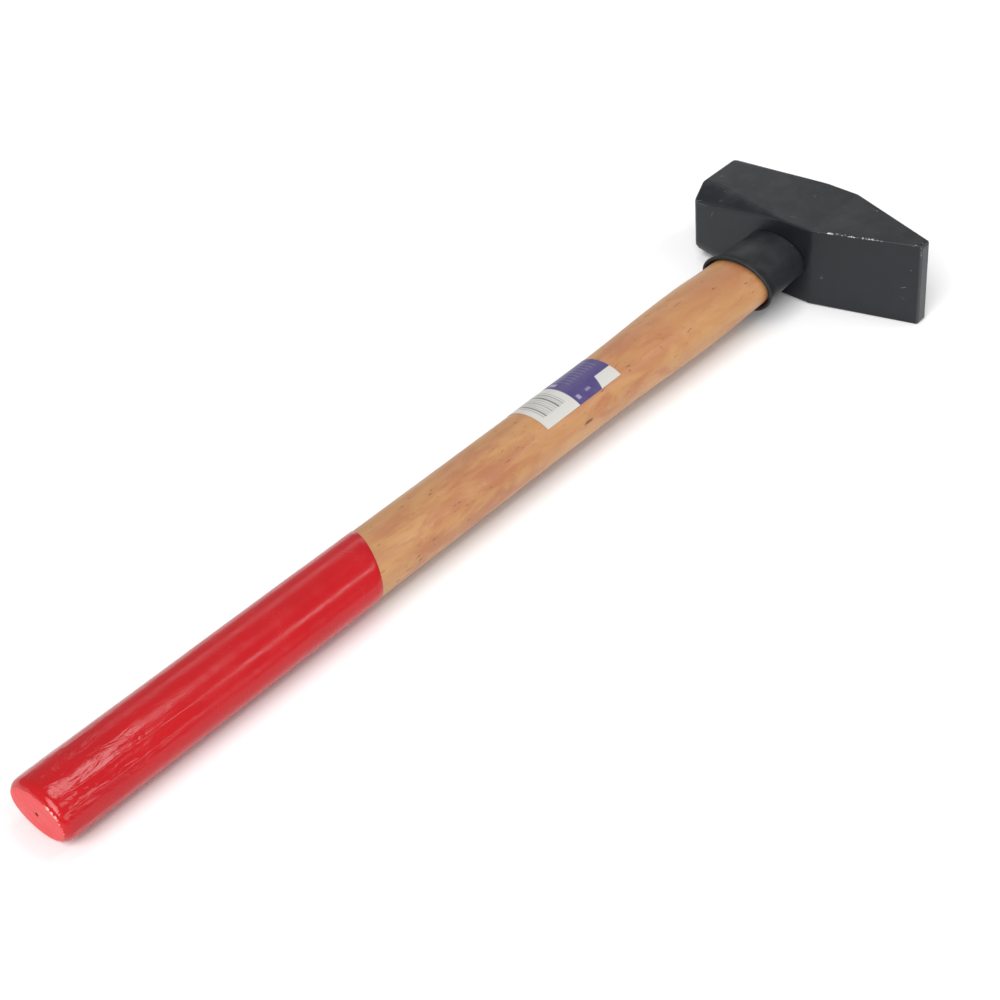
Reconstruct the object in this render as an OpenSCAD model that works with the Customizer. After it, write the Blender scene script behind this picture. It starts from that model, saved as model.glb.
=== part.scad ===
// Cross-pein sledge hammer with an oval wooden handle, a steel guard collar and a dipped grip.
// The hammer lies on one cheek. +X runs along the handle towards the head, +Y towards the striking
// face and +Z up. The origin is on the lower cheek, straight below the middle of the eye.

/* [Head] */
// Height of the head, along the handle
body_h = 63.5; // [52:0.5:78]
// Thickness of the head, from cheek to cheek
body_t = 66; // [54:0.5:80]
// Middle of the eye to the striking face
face_reach = 79; // [60:1:95]
// Middle of the eye to the shoulders where the wedge starts
shoulder_reach = 31; // [26:0.5:38]
// Middle of the eye to the pein's tip
pein_reach = 113; // [90:1:135]
// Thickness of the pein's blunt tip, along the handle
pein_tip = 9.5; // [5:0.5:14]
// How far each end of the pein stands out past its cheek
pein_flare = 2; // [0:0.25:4]
// Width of the four corner bevels at the striking face
bevel = 12; // [6:0.5:16]
// Length of the corner bevels, back from the striking face
bevel_run = 84; // [60:1:95]

/* [Eye] */
// Radius of the eye's round ends at its waist
eye_r = 12.5; // [10:0.25:15]
// Distance between the centres of the eye's round ends
eye_span = 15; // [10:0.5:20]
// How much wider than its waist the eye is at each mouth, on each side
eye_flare = 1.5; // [0.5:0.25:2.5]
// How far the eye's waist lies from the head's middle, towards the handle
eye_waist = 6; // [0:0.5:12]
// Clearance between the tenon and the eye's wall
tenon_gap = 0.1; // [0.05:0.05:0.3]

/* [Handle] */
// Middle of the eye to the butt end
handle_reach = 761; // [620:0.5:900]
// How far the tenon stands proud of the head's crown
tenon_proud = 2; // [0:0.5:4]
// Half width of the handle at the butt
butt_a = 26.7; // [22:0.1:32]
// Half thickness of the handle at the butt
butt_b = 19.8; // [17:0.1:24]
// Half width of the flat face at the butt end
butt_face_a = 22.6; // [18:0.2:26]
// Half thickness of the flat face at the butt end
butt_face_b = 13.4; // [11:0.2:17]
// Length of the rounding from the butt's flat face to the full section
butt_round = 5.5; // [2:0.5:8]
// Middle of the eye to the slimmest place
waist_reach = 252; // [210:1:300]
// Half width at the slimmest place
waist_a = 25.1; // [21:0.1:29]
// Half thickness at the slimmest place
waist_b = 18.8; // [16:0.1:22]
// Middle of the eye to the swell below the collar
swell_reach = 132; // [115:1:160]
// Half width at the swell
swell_a = 27.6; // [23:0.1:31]
// Half thickness at the swell
swell_b = 20.7; // [17:0.1:24]
// How far the handle's shoulder stands out past the tenon, across its width
shoulder_side = 3.3; // [2.5:0.1:6]
// How far the handle's shoulder stands out past the tenon, across its thickness
shoulder_top = 2.4; // [1.5:0.1:5]
// Gap between the handle's shoulder and the head
shoulder_gap = 0.3; // [0.1:0.1:0.6]
// Radius of the lathe centre's hole in the butt
pilot_r = 1.5; // [1:0.25:2.5]
// Depth of the lathe centre's hole
pilot_depth = 14; // [6:1:24]

/* [Wedges] */
// Thickness of the wooden wedge at the crown
wood_wedge_t = 5; // [3:0.25:6]
// Thickness of the wooden wedge at its tip
wood_wedge_tip = 1.6; // [1:0.1:2.5]
// Depth of the wooden wedge
wood_wedge_depth = 42; // [30:1:46]
// Depth of the saw cut that the wooden wedge is driven into
kerf_depth = 50; // [48:1:56]
// Thickness of each steel wedge at the crown
steel_wedge_t = 4; // [2.5:0.25:5]
// Thickness of each steel wedge at its tip
steel_wedge_tip = 1; // [0.6:0.1:1.8]
// Width of each steel wedge
steel_wedge_w = 20; // [14:0.5:22]
// Depth of each steel wedge
steel_wedge_depth = 26; // [16:1:34]
// Distance between the two steel wedges
steel_wedge_pitch = 19; // [14:0.5:22]
// How far the steel wedges are sunk below the tenon's end
steel_wedge_sunk = 0.5; // [0:0.25:1.5]

/* [Collar] */
// Length of the guard collar, from the head's underside
collar_l = 50; // [40:0.5:64]
// Wall of the guard collar
collar_t = 2.2; // [1:0.1:3]
// Half width of the handle at the collar's rim
rim_a = 27.8; // [24:0.1:30]
// Half thickness of the handle at the collar's rim
rim_b = 16.8; // [15:0.1:22]
// Clearance between the collar and the handle
collar_gap = 0.5; // [0.2:0.05:0.8]
// How far the rolled rim stands out past the sleeve
rim_flare = 1.8; // [0:0.1:3.5]
// Length of the rolled rim
rim_l = 9; // [4:0.5:14]

/* [Grip and label] */
// Length of the dipped grip, from the butt along the handle's axis
grip_l = 276.5; // [200:0.5:340]
// Thickness of the dipped coat
coat_t = 0.4; // [0.3:0.05:0.8]
// Lean of the coat's edge across the handle's width
coat_lean_y = 0.38; // [0:0.02:0.5]
// Lean of the coat's edge across the handle's thickness
coat_lean_z = 0.14; // [0:0.02:0.3]
// Middle of the eye to the label's nearer end
label_reach = 238; // [180:1:270]
// Length of the label, along the handle
label_l = 79; // [50:1:100]
// Width of the label, round the handle
label_w = 50; // [30:1:60]
// Thickness of the label
label_t = 0.2; // [0.15:0.05:0.4]
// Angle of the label's lower edge, from the striking face's side over the top
label_edge = 128; // [90:1:150]
// Clearance under the coat and the label
skin_gap = 0.12; // [0.1:0.01:0.2]

/* [Hidden] */
// Where things lie along X, from the middle of the eye
crown_x = body_h / 2;
underside_x = -body_h / 2;
butt_x = -handle_reach;
rim_x = underside_x - collar_l;
tenon_end_x = crown_x + tenon_proud;
shoulder_x = underside_x - shoulder_gap;
coat_edge_x = butt_x + grip_l;
// Half length of the tenon's widest oval, and how deep the tenon is rooted in the handle
tenon_half_l = eye_span / 2 + eye_r + eye_flare;
tenon_root = 6;
// Half width and half thickness where the handle meets the head
neck_a = tenon_half_l + shoulder_side;
neck_b = eye_r + eye_flare + shoulder_top;
// Half width and half thickness of the handle at each of its stations, from the butt to the head
station_x = [butt_x, -waist_reach, -swell_reach, rim_x, shoulder_x];
station_a = [butt_a, waist_a, swell_a, rim_a, neck_a];
station_b = [butt_b, waist_b, swell_b, rim_b, neck_b];
// Segments round a handle section, rings along the grip and the shaft, and rings in the butt's rounding
sides = 48;
shaft_rings = 18;
neck_rings = 8;
round_rings = 5;
label_rings = 8;
label_sides = 18;
cut = 1;
$fn = 64;

// A slow start and a slow end between 0 and 1
function ease(t) = t * t * (3 - 2 * t);

// Value at x of a curve that passes level through each of its stations
function along(x, values, i = 0) =
    x <= station_x[0] ? values[0]
    : i == len(station_x) - 1 ? values[i]
    : x <= station_x[i + 1]
        ? values[i] + (values[i + 1] - values[i])
            * ease((x - station_x[i]) / (station_x[i + 1] - station_x[i]))
    : along(x, values, i + 1);

// Share of the butt's rounding that is left at x: 1 at the flat face and 0 on the full section
function rounding(x) =
    x >= butt_x + butt_round ? 0
    : 1 - sqrt(max(0, 1 - pow((butt_x + butt_round - x) / butt_round, 2)));

// Point on the handle's surface at x and at an angle round it, stood off by grow
function surface_point(x, angle, grow) = [
    x,
    (along(x, station_a) - (butt_a - butt_face_a) * rounding(x) + grow) * cos(angle),
    (along(x, station_b) - (butt_b - butt_face_b) * rounding(x) + grow) * sin(angle)
];

function ring(x, grow) = [for (i = [0:sides - 1]) surface_point(x, 360 * i / sides, grow)];

// Evenly spaced values from one end to the other, both included
function steps(from, to, count) = [for (i = [0:count]) from + (to - from) * i / count];

// X of each ring in the butt's rounding, without the last
function round_x() = [for (i = [0:round_rings - 1]) butt_x + butt_round * (1 - cos(90 * i / round_rings))];

// Joins rings of equal length, in order along +X, into one closed solid
module loft(rings) {
    n = len(rings[0]);
    last = len(rings) - 1;
    polyhedron(
        points = [for (r = rings) each r],
        faces = concat(
            [[for (i = [0:n - 1]) i]],
            [for (k = [0:last - 1]) for (i = [0:n - 1])
                each [[k * n + i, (k + 1) * n + i, (k + 1) * n + (i + 1) % n],
                      [k * n + i, (k + 1) * n + (i + 1) % n, k * n + (i + 1) % n]]],
            [[for (i = [n - 1:-1:0]) last * n + i]]
        ),
        convexity = 4
    );
}

// Lifts a shape drawn about the middle of the eye to its height above the lower cheek
module at_eye() {
    translate([0, 0, body_t / 2]) children();
}

// ---- eye and tenon ----

// Radius of the eye's round ends at x
function eye_r_at(x) =
    eye_r + eye_flare * abs(x + eye_waist) / (crown_x + (x > -eye_waist ? eye_waist : -eye_waist));

// Oval with round ends that tapers evenly from one x to another
module oval_taper(x0, x1, r0, r1) {
    for (side = [-1, 1])
        translate([x0, side * eye_span / 2, 0])
            rotate([0, 90, 0])
                cylinder(h = x1 - x0, r1 = r0, r2 = r1);
    translate([0, eye_span / 2, 0])
        rotate([90, 0, 0])
            linear_extrude(height = eye_span)
                polygon([[x0, -r0], [x1, -r1], [x1, r1], [x0, r0]]);
}

// The eye's waisted oval from x0 to x1, stood off by grow
module eye_oval(x0, x1, grow) {
    oval_taper(x0, -eye_waist, eye_r_at(x0) + grow, eye_r + grow);
    oval_taper(-eye_waist, x1, eye_r + grow, eye_r_at(x1) + grow);
}

// ---- wedges ----

// Outline of a wedge that points along -X from top_x, with a straight stretch above its thick end
module wedge_outline(top_x, depth, top_t, tip_t, above) {
    polygon(concat(
        above > 0 ? [[top_x + above, -top_t / 2], [top_x + above, top_t / 2]] : [],
        [
            [top_x, top_t / 2], [top_x - depth, tip_t / 2],
            [top_x - depth, -tip_t / 2], [top_x, -top_t / 2]
        ]
    ));
}

// The wooden wedge, wider than the tenon; above lengthens its thick end to cut a slot
module wood_wedge_shape(above = 0) {
    translate([0, tenon_half_l + cut, 0])
        rotate([90, 0, 0])
            linear_extrude(height = 2 * (tenon_half_l + cut))
                wedge_outline(tenon_end_x, wood_wedge_depth, wood_wedge_t, wood_wedge_tip, above);
}

// The steel wedge on one side of the eye's middle; above lengthens its thick end to cut a slot
module steel_wedge_shape(side, above = 0) {
    translate([0, side * steel_wedge_pitch / 2, -steel_wedge_w / 2])
        linear_extrude(height = steel_wedge_w)
            wedge_outline(tenon_end_x - steel_wedge_sunk, steel_wedge_depth, steel_wedge_t,
                steel_wedge_tip, above);
}

module steel_wedge_slots() {
    for (side = [-1, 1]) steel_wedge_shape(side, steel_wedge_sunk + cut);
}

module tenon() {
    mouth_r = eye_r_at(crown_x) - tenon_gap;
    root_r = eye_r_at(underside_x) - tenon_gap;
    eye_oval(underside_x, crown_x, -tenon_gap);
    oval_taper(crown_x, tenon_end_x, mouth_r, mouth_r);
    oval_taper(underside_x - tenon_root, underside_x, root_r, root_r);
}

// ---- pieces ----

// Half space beyond one corner bevel, drawn for the corner on +X and +Z
module bevel_cut() {
    lean = atan(bevel / bevel_run / sqrt(2));
    size = face_reach + pein_reach;
    translate([body_h / 2, face_reach - bevel_run, body_t / 2])
        rotate([-lean, 45, 0])
            translate([-size / 2, 0, 0])
                cube([size, size, bevel * 2]);
}

module head() {
    tip_t = body_t + 2 * pein_flare;
    color([0.10, 0.10, 0.11]) at_eye() difference() {
        intersection() {
            linear_extrude(height = tip_t + cut, center = true)
                polygon([
                    [crown_x, face_reach], [underside_x, face_reach],
                    [underside_x, -shoulder_reach], [-pein_tip / 2, -pein_reach],
                    [pein_tip / 2, -pein_reach], [crown_x, -shoulder_reach]
                ]);
            translate([underside_x - cut, 0, 0])
                rotate([90, 0, 90])
                    linear_extrude(height = body_h + 2 * cut)
                        polygon([
                            [face_reach, -body_t / 2], [face_reach, body_t / 2],
                            [-shoulder_reach, body_t / 2], [-pein_reach, tip_t / 2],
                            [-pein_reach, -tip_t / 2], [-shoulder_reach, -body_t / 2]
                        ]);
        }
        for (x = [0, 1]) for (z = [0, 1])
            mirror([x, 0, 0]) mirror([0, 0, z]) bevel_cut();
        eye_oval(underside_x - cut, crown_x + cut, 0);
    }
}

module handle() {
    color([0.80, 0.61, 0.43]) at_eye() difference() {
        union() {
            loft([for (x = concat(
                round_x(),
                steps(butt_x + butt_round, -swell_reach, shaft_rings),
                [for (x = steps(-swell_reach, shoulder_x, neck_rings)) if (x > -swell_reach) x]
            )) ring(x, 0)]);
            tenon();
        }
        wood_wedge_shape(cut);
        steel_wedge_slots();
        translate([tenon_end_x - kerf_depth, -tenon_half_l - cut, -wood_wedge_tip / 2])
            cube([kerf_depth, 2 * (tenon_half_l + cut), wood_wedge_tip]);
        translate([butt_x - cut, 0, 0])
            rotate([0, 90, 0])
                cylinder(h = pilot_depth + cut, r = pilot_r);
    }
}

module collar() {
    sleeve = collar_gap + collar_t;
    bead = rim_x + rim_l;
    color([0.12, 0.12, 0.13]) at_eye() difference() {
        loft([for (x = concat(steps(rim_x, bead, 2), steps(bead + rim_l / 2, underside_x, neck_rings)))
            ring(x, sleeve + rim_flare * (1 - ease(min(1, (x - rim_x) / rim_l))))]);
        loft([for (x = concat([rim_x - cut], steps(rim_x, shoulder_x, neck_rings), [underside_x + cut]))
            ring(x, collar_gap)]);
    }
}

module wooden_wedge() {
    color([0.70, 0.52, 0.34]) at_eye() difference() {
        intersection() {
            wood_wedge_shape();
            tenon();
        }
        steel_wedge_slots();
    }
}

module steel_wedge_front() {
    color([0.55, 0.55, 0.57]) at_eye() steel_wedge_shape(1);
}

module steel_wedge_rear() {
    color([0.55, 0.55, 0.57]) at_eye() steel_wedge_shape(-1);
}

// Ring of the coat, a share of the way from the butt's rounding to the leaning edge of the coat
function coat_ring(share, grow) = [for (i = [0:sides - 1])
    let (
        angle = 360 * i / sides,
        start = butt_x + butt_round,
        edge = coat_edge_x + coat_lean_y * butt_a * cos(angle) + coat_lean_z * butt_b * sin(angle)
    )
    surface_point(start + (edge - start) * share, angle, grow)];

module grip_coat() {
    rings = 8;
    color([0.76, 0.11, 0.13]) at_eye() difference() {
        loft(concat(
            [[for (p = ring(butt_x, skin_gap + coat_t)) p - [skin_gap + coat_t, 0, 0]]],
            [for (x = round_x()) ring(x, skin_gap + coat_t)],
            [for (share = steps(0, 1, rings)) coat_ring(share, skin_gap + coat_t)]
        ));
        loft(concat(
            [[for (p = ring(butt_x, skin_gap)) p - [skin_gap, 0, 0]]],
            [for (x = round_x()) ring(x, skin_gap)],
            [for (share = steps(0, 1 + 1 / rings, rings + 1)) coat_ring(share, skin_gap)]
        ));
        translate([butt_x - cut, 0, 0])
            rotate([0, 90, 0])
                cylinder(h = 2 * cut, r = pilot_r);
    }
}

// Cross-section of the label at x: its outer face one way and its inner face back
function label_ring(x) =
    let (
        mean_r = (along(x, station_a) + along(x, station_b)) / 2,
        span = label_w / mean_r * 180 / PI,
        angles = steps(label_edge - span, label_edge, label_sides)
    )
    concat(
        [for (angle = angles) surface_point(x, angle, skin_gap + label_t)],
        [for (i = [label_sides:-1:0]) surface_point(x, angles[i], skin_gap)]
    );

module label() {
    color([0.92, 0.92, 0.93]) at_eye()
        loft([for (x = steps(-label_reach - label_l, -label_reach, label_rings)) label_ring(x)]);
}

head();
handle();
collar();
wooden_wedge();
steel_wedge_front();
steel_wedge_rear();
grip_coat();
label();
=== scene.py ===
"""Cross-pein sledge hammer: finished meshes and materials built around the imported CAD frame.

All numbers are metres in the frame's own axes: +X runs along the handle towards the crown of the head,
+Y towards the striking face and +Z up from the cheek that the hammer lies on.
"""

import logging
import math
import random
from dataclasses import dataclass, field
from enum import Enum
from typing import Iterable, Sequence, Union

import bmesh
import bpy
from mathutils import Matrix, Vector, noise

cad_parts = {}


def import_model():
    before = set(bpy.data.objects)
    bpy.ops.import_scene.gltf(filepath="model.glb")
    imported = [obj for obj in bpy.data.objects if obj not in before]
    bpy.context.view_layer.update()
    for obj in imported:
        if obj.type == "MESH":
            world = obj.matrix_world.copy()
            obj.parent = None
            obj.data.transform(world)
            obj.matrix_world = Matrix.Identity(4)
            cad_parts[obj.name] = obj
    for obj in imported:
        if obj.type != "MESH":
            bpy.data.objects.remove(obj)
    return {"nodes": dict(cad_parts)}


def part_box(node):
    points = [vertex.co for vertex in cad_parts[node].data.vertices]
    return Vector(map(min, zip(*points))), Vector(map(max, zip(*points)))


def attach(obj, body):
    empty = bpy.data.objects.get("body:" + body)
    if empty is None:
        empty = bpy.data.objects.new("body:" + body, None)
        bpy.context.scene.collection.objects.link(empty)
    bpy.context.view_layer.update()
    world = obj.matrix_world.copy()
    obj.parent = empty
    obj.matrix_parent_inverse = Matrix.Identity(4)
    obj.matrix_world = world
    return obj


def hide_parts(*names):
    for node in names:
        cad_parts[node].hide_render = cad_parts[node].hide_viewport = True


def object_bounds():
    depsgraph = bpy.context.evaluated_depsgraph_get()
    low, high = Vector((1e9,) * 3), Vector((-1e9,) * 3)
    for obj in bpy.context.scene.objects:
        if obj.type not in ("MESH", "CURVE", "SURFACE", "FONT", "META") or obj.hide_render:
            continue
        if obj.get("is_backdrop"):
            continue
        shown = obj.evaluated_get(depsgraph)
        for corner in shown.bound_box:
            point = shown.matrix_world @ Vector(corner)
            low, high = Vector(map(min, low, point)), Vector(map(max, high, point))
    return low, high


LOG = logging.getLogger("hammer")
MM = 0.001
SEED = 20417

Tree = bpy.types.NodeTree
Node = bpy.types.Node
Socket = bpy.types.NodeSocket
Value = Union[float, Sequence[float], Socket]
Colour = tuple[float, float, float]
Point = tuple[float, float, float]
Profile = list[tuple[float, float]]


# ---------------------------------------------------------------------------------------------------
# Shader graphs and the effects that several finishes share
# ---------------------------------------------------------------------------------------------------


class Effect(Enum):
    """Names of the shared shader node groups."""

    EDGE_WEAR = "edge_wear"
    PAINT_SKIN = "paint_skin"
    MOTTLE = "mottle"
    WOOD_GRAIN = "wood_grain"
    SCUFFS = "scuffs"
    DUST = "dust"
    SPOT = "spot"


class Graph:
    """Short calls for building one shader node tree."""

    def __init__(self, tree: Tree) -> None:
        """Wraps a node tree."""
        self.tree = tree

    def node(self, kind: str, **settings: object) -> Node:
        """Adds a node and sets its properties.

        Args:
            kind: Blender's type name of the node.
            settings: Properties of the node and their values.

        Returns:
            The new node.
        """
        made = self.tree.nodes.new(kind)
        for name, value in settings.items():
            setattr(made, name, value)
        return made

    def feed(self, socket: Socket, value: Value) -> None:
        """Links a value to a socket, or sets it as the default there if it is a plain value.

        Args:
            socket: What receives the value.
            value: A number, a vector, a colour or the output of a node.
        """
        if isinstance(value, Socket):
            self.tree.links.new(value, socket)
        else:
            socket.default_value = value

    def math(self, operation: str, first: Value, second: Value = 0.0,
             clamp: bool = False) -> Socket:
        """Adds a Math node.

        Args:
            operation: Blender's name of the operation.
            first: First operand.
            second: Second operand.
            clamp: Whether the result stays between 0 and 1.

        Returns:
            The node's result.
        """
        made = self.node("ShaderNodeMath", operation=operation, use_clamp=clamp)
        self.feed(made.inputs[0], first)
        self.feed(made.inputs[1], second)
        return made.outputs[0]

    def times(self, first: Value, second: Value) -> Socket:
        """Multiplies two values."""
        return self.math("MULTIPLY", first, second)

    def plus(self, first: Value, second: Value, clamp: bool = False) -> Socket:
        """Adds two values and, if clamp is set, keeps the sum between 0 and 1."""
        return self.math("ADD", first, second, clamp)

    def minus(self, first: Value, second: Value, clamp: bool = False) -> Socket:
        """Takes the second value from the first and, if clamp is set, keeps the rest between 0 and 1."""
        return self.math("SUBTRACT", first, second, clamp)

    def most(self, first: Value, second: Value) -> Socket:
        """Returns the larger of two values."""
        return self.math("MAXIMUM", first, second)

    def blend(self, factor: Value, first: Value, second: Value) -> Socket:
        """Mixes two colours.

        Args:
            factor: Share of the second colour.
            first: First colour.
            second: Second colour.

        Returns:
            The mixed colour.
        """
        made = self.node("ShaderNodeMix", data_type="RGBA")
        self.feed(made.inputs[0], factor)
        for socket, colour in ((made.inputs[6], first), (made.inputs[7], second)):
            self.feed(socket, colour if isinstance(colour, Socket) else (*colour, 1.0))
        return made.outputs[2]

    def remap(self, value: Value, low: float, high: float, to_low: float = 0.0,
              to_high: float = 1.0) -> Socket:
        """Eases a value from one range to another.

        Args:
            value: What is remapped.
            low: Start of the range that it comes from.
            high: End of that range.
            to_low: What low becomes.
            to_high: What high becomes.

        Returns:
            The remapped value, which never leaves its new range.
        """
        made = self.node("ShaderNodeMapRange", interpolation_type="SMOOTHSTEP")
        for socket, number in zip(made.inputs, (value, low, high, to_low, to_high)):
            self.feed(socket, number)
        return made.outputs[0]

    def place(self) -> Socket:
        """Returns the surface point in the frame's own coordinates, in metres."""
        return self.node("ShaderNodeTexCoord").outputs["Object"]

    def coordinate(self, axis: int) -> Socket:
        """Finds one coordinate of the surface point.

        Args:
            axis: 0 for x, 1 for y and 2 for z.

        Returns:
            The coordinate, in metres.
        """
        made = self.node("ShaderNodeSeparateXYZ")
        self.feed(made.inputs[0], self.place())
        return made.outputs[axis]

    def stretch(self, scale: Point, turn: Point = (0.0, 0.0, 0.0)) -> Socket:
        """Scales the surface point for a texture.

        Args:
            scale: Waves per metre along each axis.
            turn: Turn about each axis, in radians.

        Returns:
            The scaled point.
        """
        made = self.node("ShaderNodeMapping")
        self.feed(made.inputs["Vector"], self.place())
        made.inputs["Scale"].default_value = scale
        made.inputs["Rotation"].default_value = turn
        return made.outputs[0]

    def noise(self, vector: Socket, scale: Value = 1.0, detail: float = 2.0,
              roughness: float = 0.5, distortion: float = 0.0) -> Socket:
        """Adds a noise texture.

        Args:
            vector: Where the noise is read.
            scale: Its scale.
            detail: Its finer layers.
            roughness: How strong the finer layers are.
            distortion: How far it is twisted.

        Returns:
            A value about 0.5.
        """
        made = self.node("ShaderNodeTexNoise")
        self.feed(made.inputs["Vector"], vector)
        self.feed(made.inputs["Scale"], scale)
        made.inputs["Detail"].default_value = detail
        made.inputs["Roughness"].default_value = roughness
        made.inputs["Distortion"].default_value = distortion
        return made.outputs["Fac"]

    def attribute(self, name: str) -> Socket:
        """Reads a number that the mesh carries at its points."""
        return self.node("ShaderNodeAttribute", attribute_name=name).outputs["Fac"]

    def effect(self, kind: Effect, **values: Value) -> Node:
        """Places a shared effect.

        Args:
            kind: Which effect.
            values: Its inputs by name.

        Returns:
            The group node, whose outputs are read by name.
        """
        made = self.node("ShaderNodeGroup", node_tree=EffectShelf.tree(kind))
        for name, value in values.items():
            self.feed(made.inputs[name], value)
        return made

    def bump(self, height: Value, strength: float, distance: float) -> Socket:
        """Turns a height into a normal.

        Args:
            height: Height between 0 and 1.
            strength: How strong the relief is.
            distance: How high 1 stands, in metres.

        Returns:
            The normal.
        """
        made = self.node("ShaderNodeBump")
        made.inputs["Strength"].default_value = strength
        made.inputs["Distance"].default_value = distance
        self.feed(made.inputs["Height"], height)
        return made.outputs[0]


class EffectShelf:
    """Builds each shared shader node group once and hands it out."""

    @classmethod
    def tree(cls, kind: Effect) -> Tree:
        """Finds the node group of an effect, or builds it at its first use.

        Args:
            kind: Which effect.

        Returns:
            Its node group.
        """
        builders = {
            Effect.EDGE_WEAR: cls._edge_wear,
            Effect.PAINT_SKIN: cls._paint_skin,
            Effect.MOTTLE: cls._mottle,
            Effect.WOOD_GRAIN: cls._wood_grain,
            Effect.SCUFFS: cls._scuffs,
            Effect.DUST: cls._dust,
            Effect.SPOT: cls._spot,
        }
        return bpy.data.node_groups.get(kind.value) or builders[kind]()

    @staticmethod
    def _start(kind: Effect, inputs: dict[str, Value],
               outputs: Sequence[str]) -> tuple[Graph, dict[str, Socket], Node]:
        """Starts a node group.

        Args:
            kind: The effect, whose value names the group.
            inputs: Names and default values of its inputs.
            outputs: Names of its outputs, which are all numbers.

        Returns:
            Its graph, its inputs by name and its output node.
        """
        tree = bpy.data.node_groups.new(kind.value, "ShaderNodeTree")
        for label, value in inputs.items():
            sort = "NodeSocketFloat" if isinstance(value, float) else "NodeSocketVector"
            tree.interface.new_socket(name=label, in_out="INPUT", socket_type=sort).default_value = value
        for label in outputs:
            tree.interface.new_socket(name=label, in_out="OUTPUT", socket_type="NodeSocketFloat")
        graph = Graph(tree)
        given = graph.node("NodeGroupInput")
        return graph, {s.name: s for s in given.outputs if s.name}, graph.node("NodeGroupOutput")

    @classmethod
    def _edge_wear(cls) -> Tree:
        """Builds bare patches that break up along an edge.

        Returns:
            The node group.
        """
        inputs = {"Edge": 0.0, "Scale": 150.0, "Reach": 0.2}
        graph, given, out = cls._start(Effect.EDGE_WEAR, inputs, ["Mask"])
        grit_gain, bare_from, bare_to = 1.6, 1.15, 1.24
        grit = graph.noise(graph.place(), given["Scale"], 6.0, 0.7)
        rubbed = graph.times(given["Edge"], graph.times(grit, grit_gain))
        over = graph.plus(rubbed, given["Reach"])
        graph.feed(out.inputs["Mask"], graph.remap(over, bare_from, bare_to))
        return graph.tree

    @classmethod
    def _paint_skin(cls) -> Tree:
        """Builds the soft waves of sprayed or dipped paint, with a finer grit on them.

        Returns:
            The node group.
        """
        graph, given, out = cls._start(Effect.PAINT_SKIN, {"Scale": 120.0, "Grit": 0.2}, ["Height"])
        finer = 7.0
        waves = graph.noise(graph.place(), given["Scale"], 2.0)
        fine = graph.noise(graph.place(), graph.times(given["Scale"], finer), 3.0, 0.6)
        graph.feed(out.inputs["Height"], graph.plus(waves, graph.times(fine, given["Grit"])))
        return graph.tree

    @classmethod
    def _mottle(cls) -> Tree:
        """Builds uneven patches, from 0 to 1.

        Returns:
            The node group.
        """
        graph, given, out = cls._start(Effect.MOTTLE, {"Scale": 40.0, "Contrast": 2.0}, ["Factor"])
        cloud = graph.noise(graph.place(), given["Scale"], 5.0, 0.6, 0.3)
        swing = graph.times(graph.minus(cloud, 0.5), given["Contrast"])
        graph.feed(out.inputs["Factor"], graph.plus(swing, 0.5, clamp=True))
        return graph.tree

    @classmethod
    def _wood_grain(cls) -> Tree:
        """Builds fibres along +X, broad bands, reddish blotches and short dark pores.

        Returns:
            The node group.
        """
        outputs = ["Grain", "Cloud", "Blotches", "Flecks", "Height"]
        graph, given, out = cls._start(Effect.WOOD_GRAIN, {"Blotch": 0.5, "Pores": 0.5}, outputs)
        band_share, fibre_share, patch_share, fleck_depth = 0.75, 0.25, 0.85, 0.6
        fibre = graph.noise(graph.stretch((30.0, 900.0, 900.0)), 1.0, 4.0, 0.6)
        band = graph.noise(graph.stretch((12.0, 46.0, 46.0)), 1.0, 3.0, 0.5, 0.7)
        grain = graph.plus(graph.times(band, band_share), graph.times(fibre, fibre_share))
        cloud = graph.noise(graph.stretch((17.0, 62.0, 62.0)), 1.0, 6.0, 0.66, 0.3)
        patch = graph.noise(graph.stretch((9.0, 27.0, 27.0)), 1.0, 3.0, 0.6, 0.6)
        blotch = graph.most(graph.remap(cloud, 0.47, 0.70),
                            graph.times(graph.remap(patch, 0.44, 0.66), patch_share))
        pore = graph.noise(graph.stretch((130.0, 480.0, 480.0)), 1.0, 2.0, 0.5)
        where = graph.remap(graph.noise(graph.place(), 45.0, 2.0), 0.42, 0.62)
        fleck = graph.times(graph.remap(pore, 0.63, 0.74), where)
        graph.feed(out.inputs["Grain"], grain)
        graph.feed(out.inputs["Cloud"], graph.remap(cloud, 0.38, 0.60))
        graph.feed(out.inputs["Blotches"], graph.times(blotch, given["Blotch"]))
        graph.feed(out.inputs["Flecks"], graph.times(fleck, given["Pores"]))
        graph.feed(out.inputs["Height"], graph.minus(fibre, graph.times(fleck, fleck_depth)))
        return graph.tree

    @classmethod
    def _scuffs(cls) -> Tree:
        """Builds thin scratches in a few directions, here and there.

        Returns:
            The node group.
        """
        graph, given, out = cls._start(Effect.SCUFFS, {"Amount": 0.5}, ["Mask"])
        half_line = 0.006
        lines: Value = 0.0
        for turn, scale in (((0.3, 0.5, 0.9), 90.0), ((1.1, 0.2, -0.7), 120.0)):
            drawn = graph.noise(graph.stretch((scale, scale * 0.35, scale * 0.6), turn), 1.0, 2.0, 0.4)
            near = graph.math("ABSOLUTE", graph.minus(drawn, 0.5))
            lines = graph.most(lines, graph.remap(near, 0.0, half_line, 1.0, 0.0))
        where = graph.remap(graph.noise(graph.place(), 85.0, 2.0), 0.66, 0.70)
        graph.feed(out.inputs["Mask"], graph.times(graph.times(lines, where), given["Amount"]))
        return graph.tree

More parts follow.
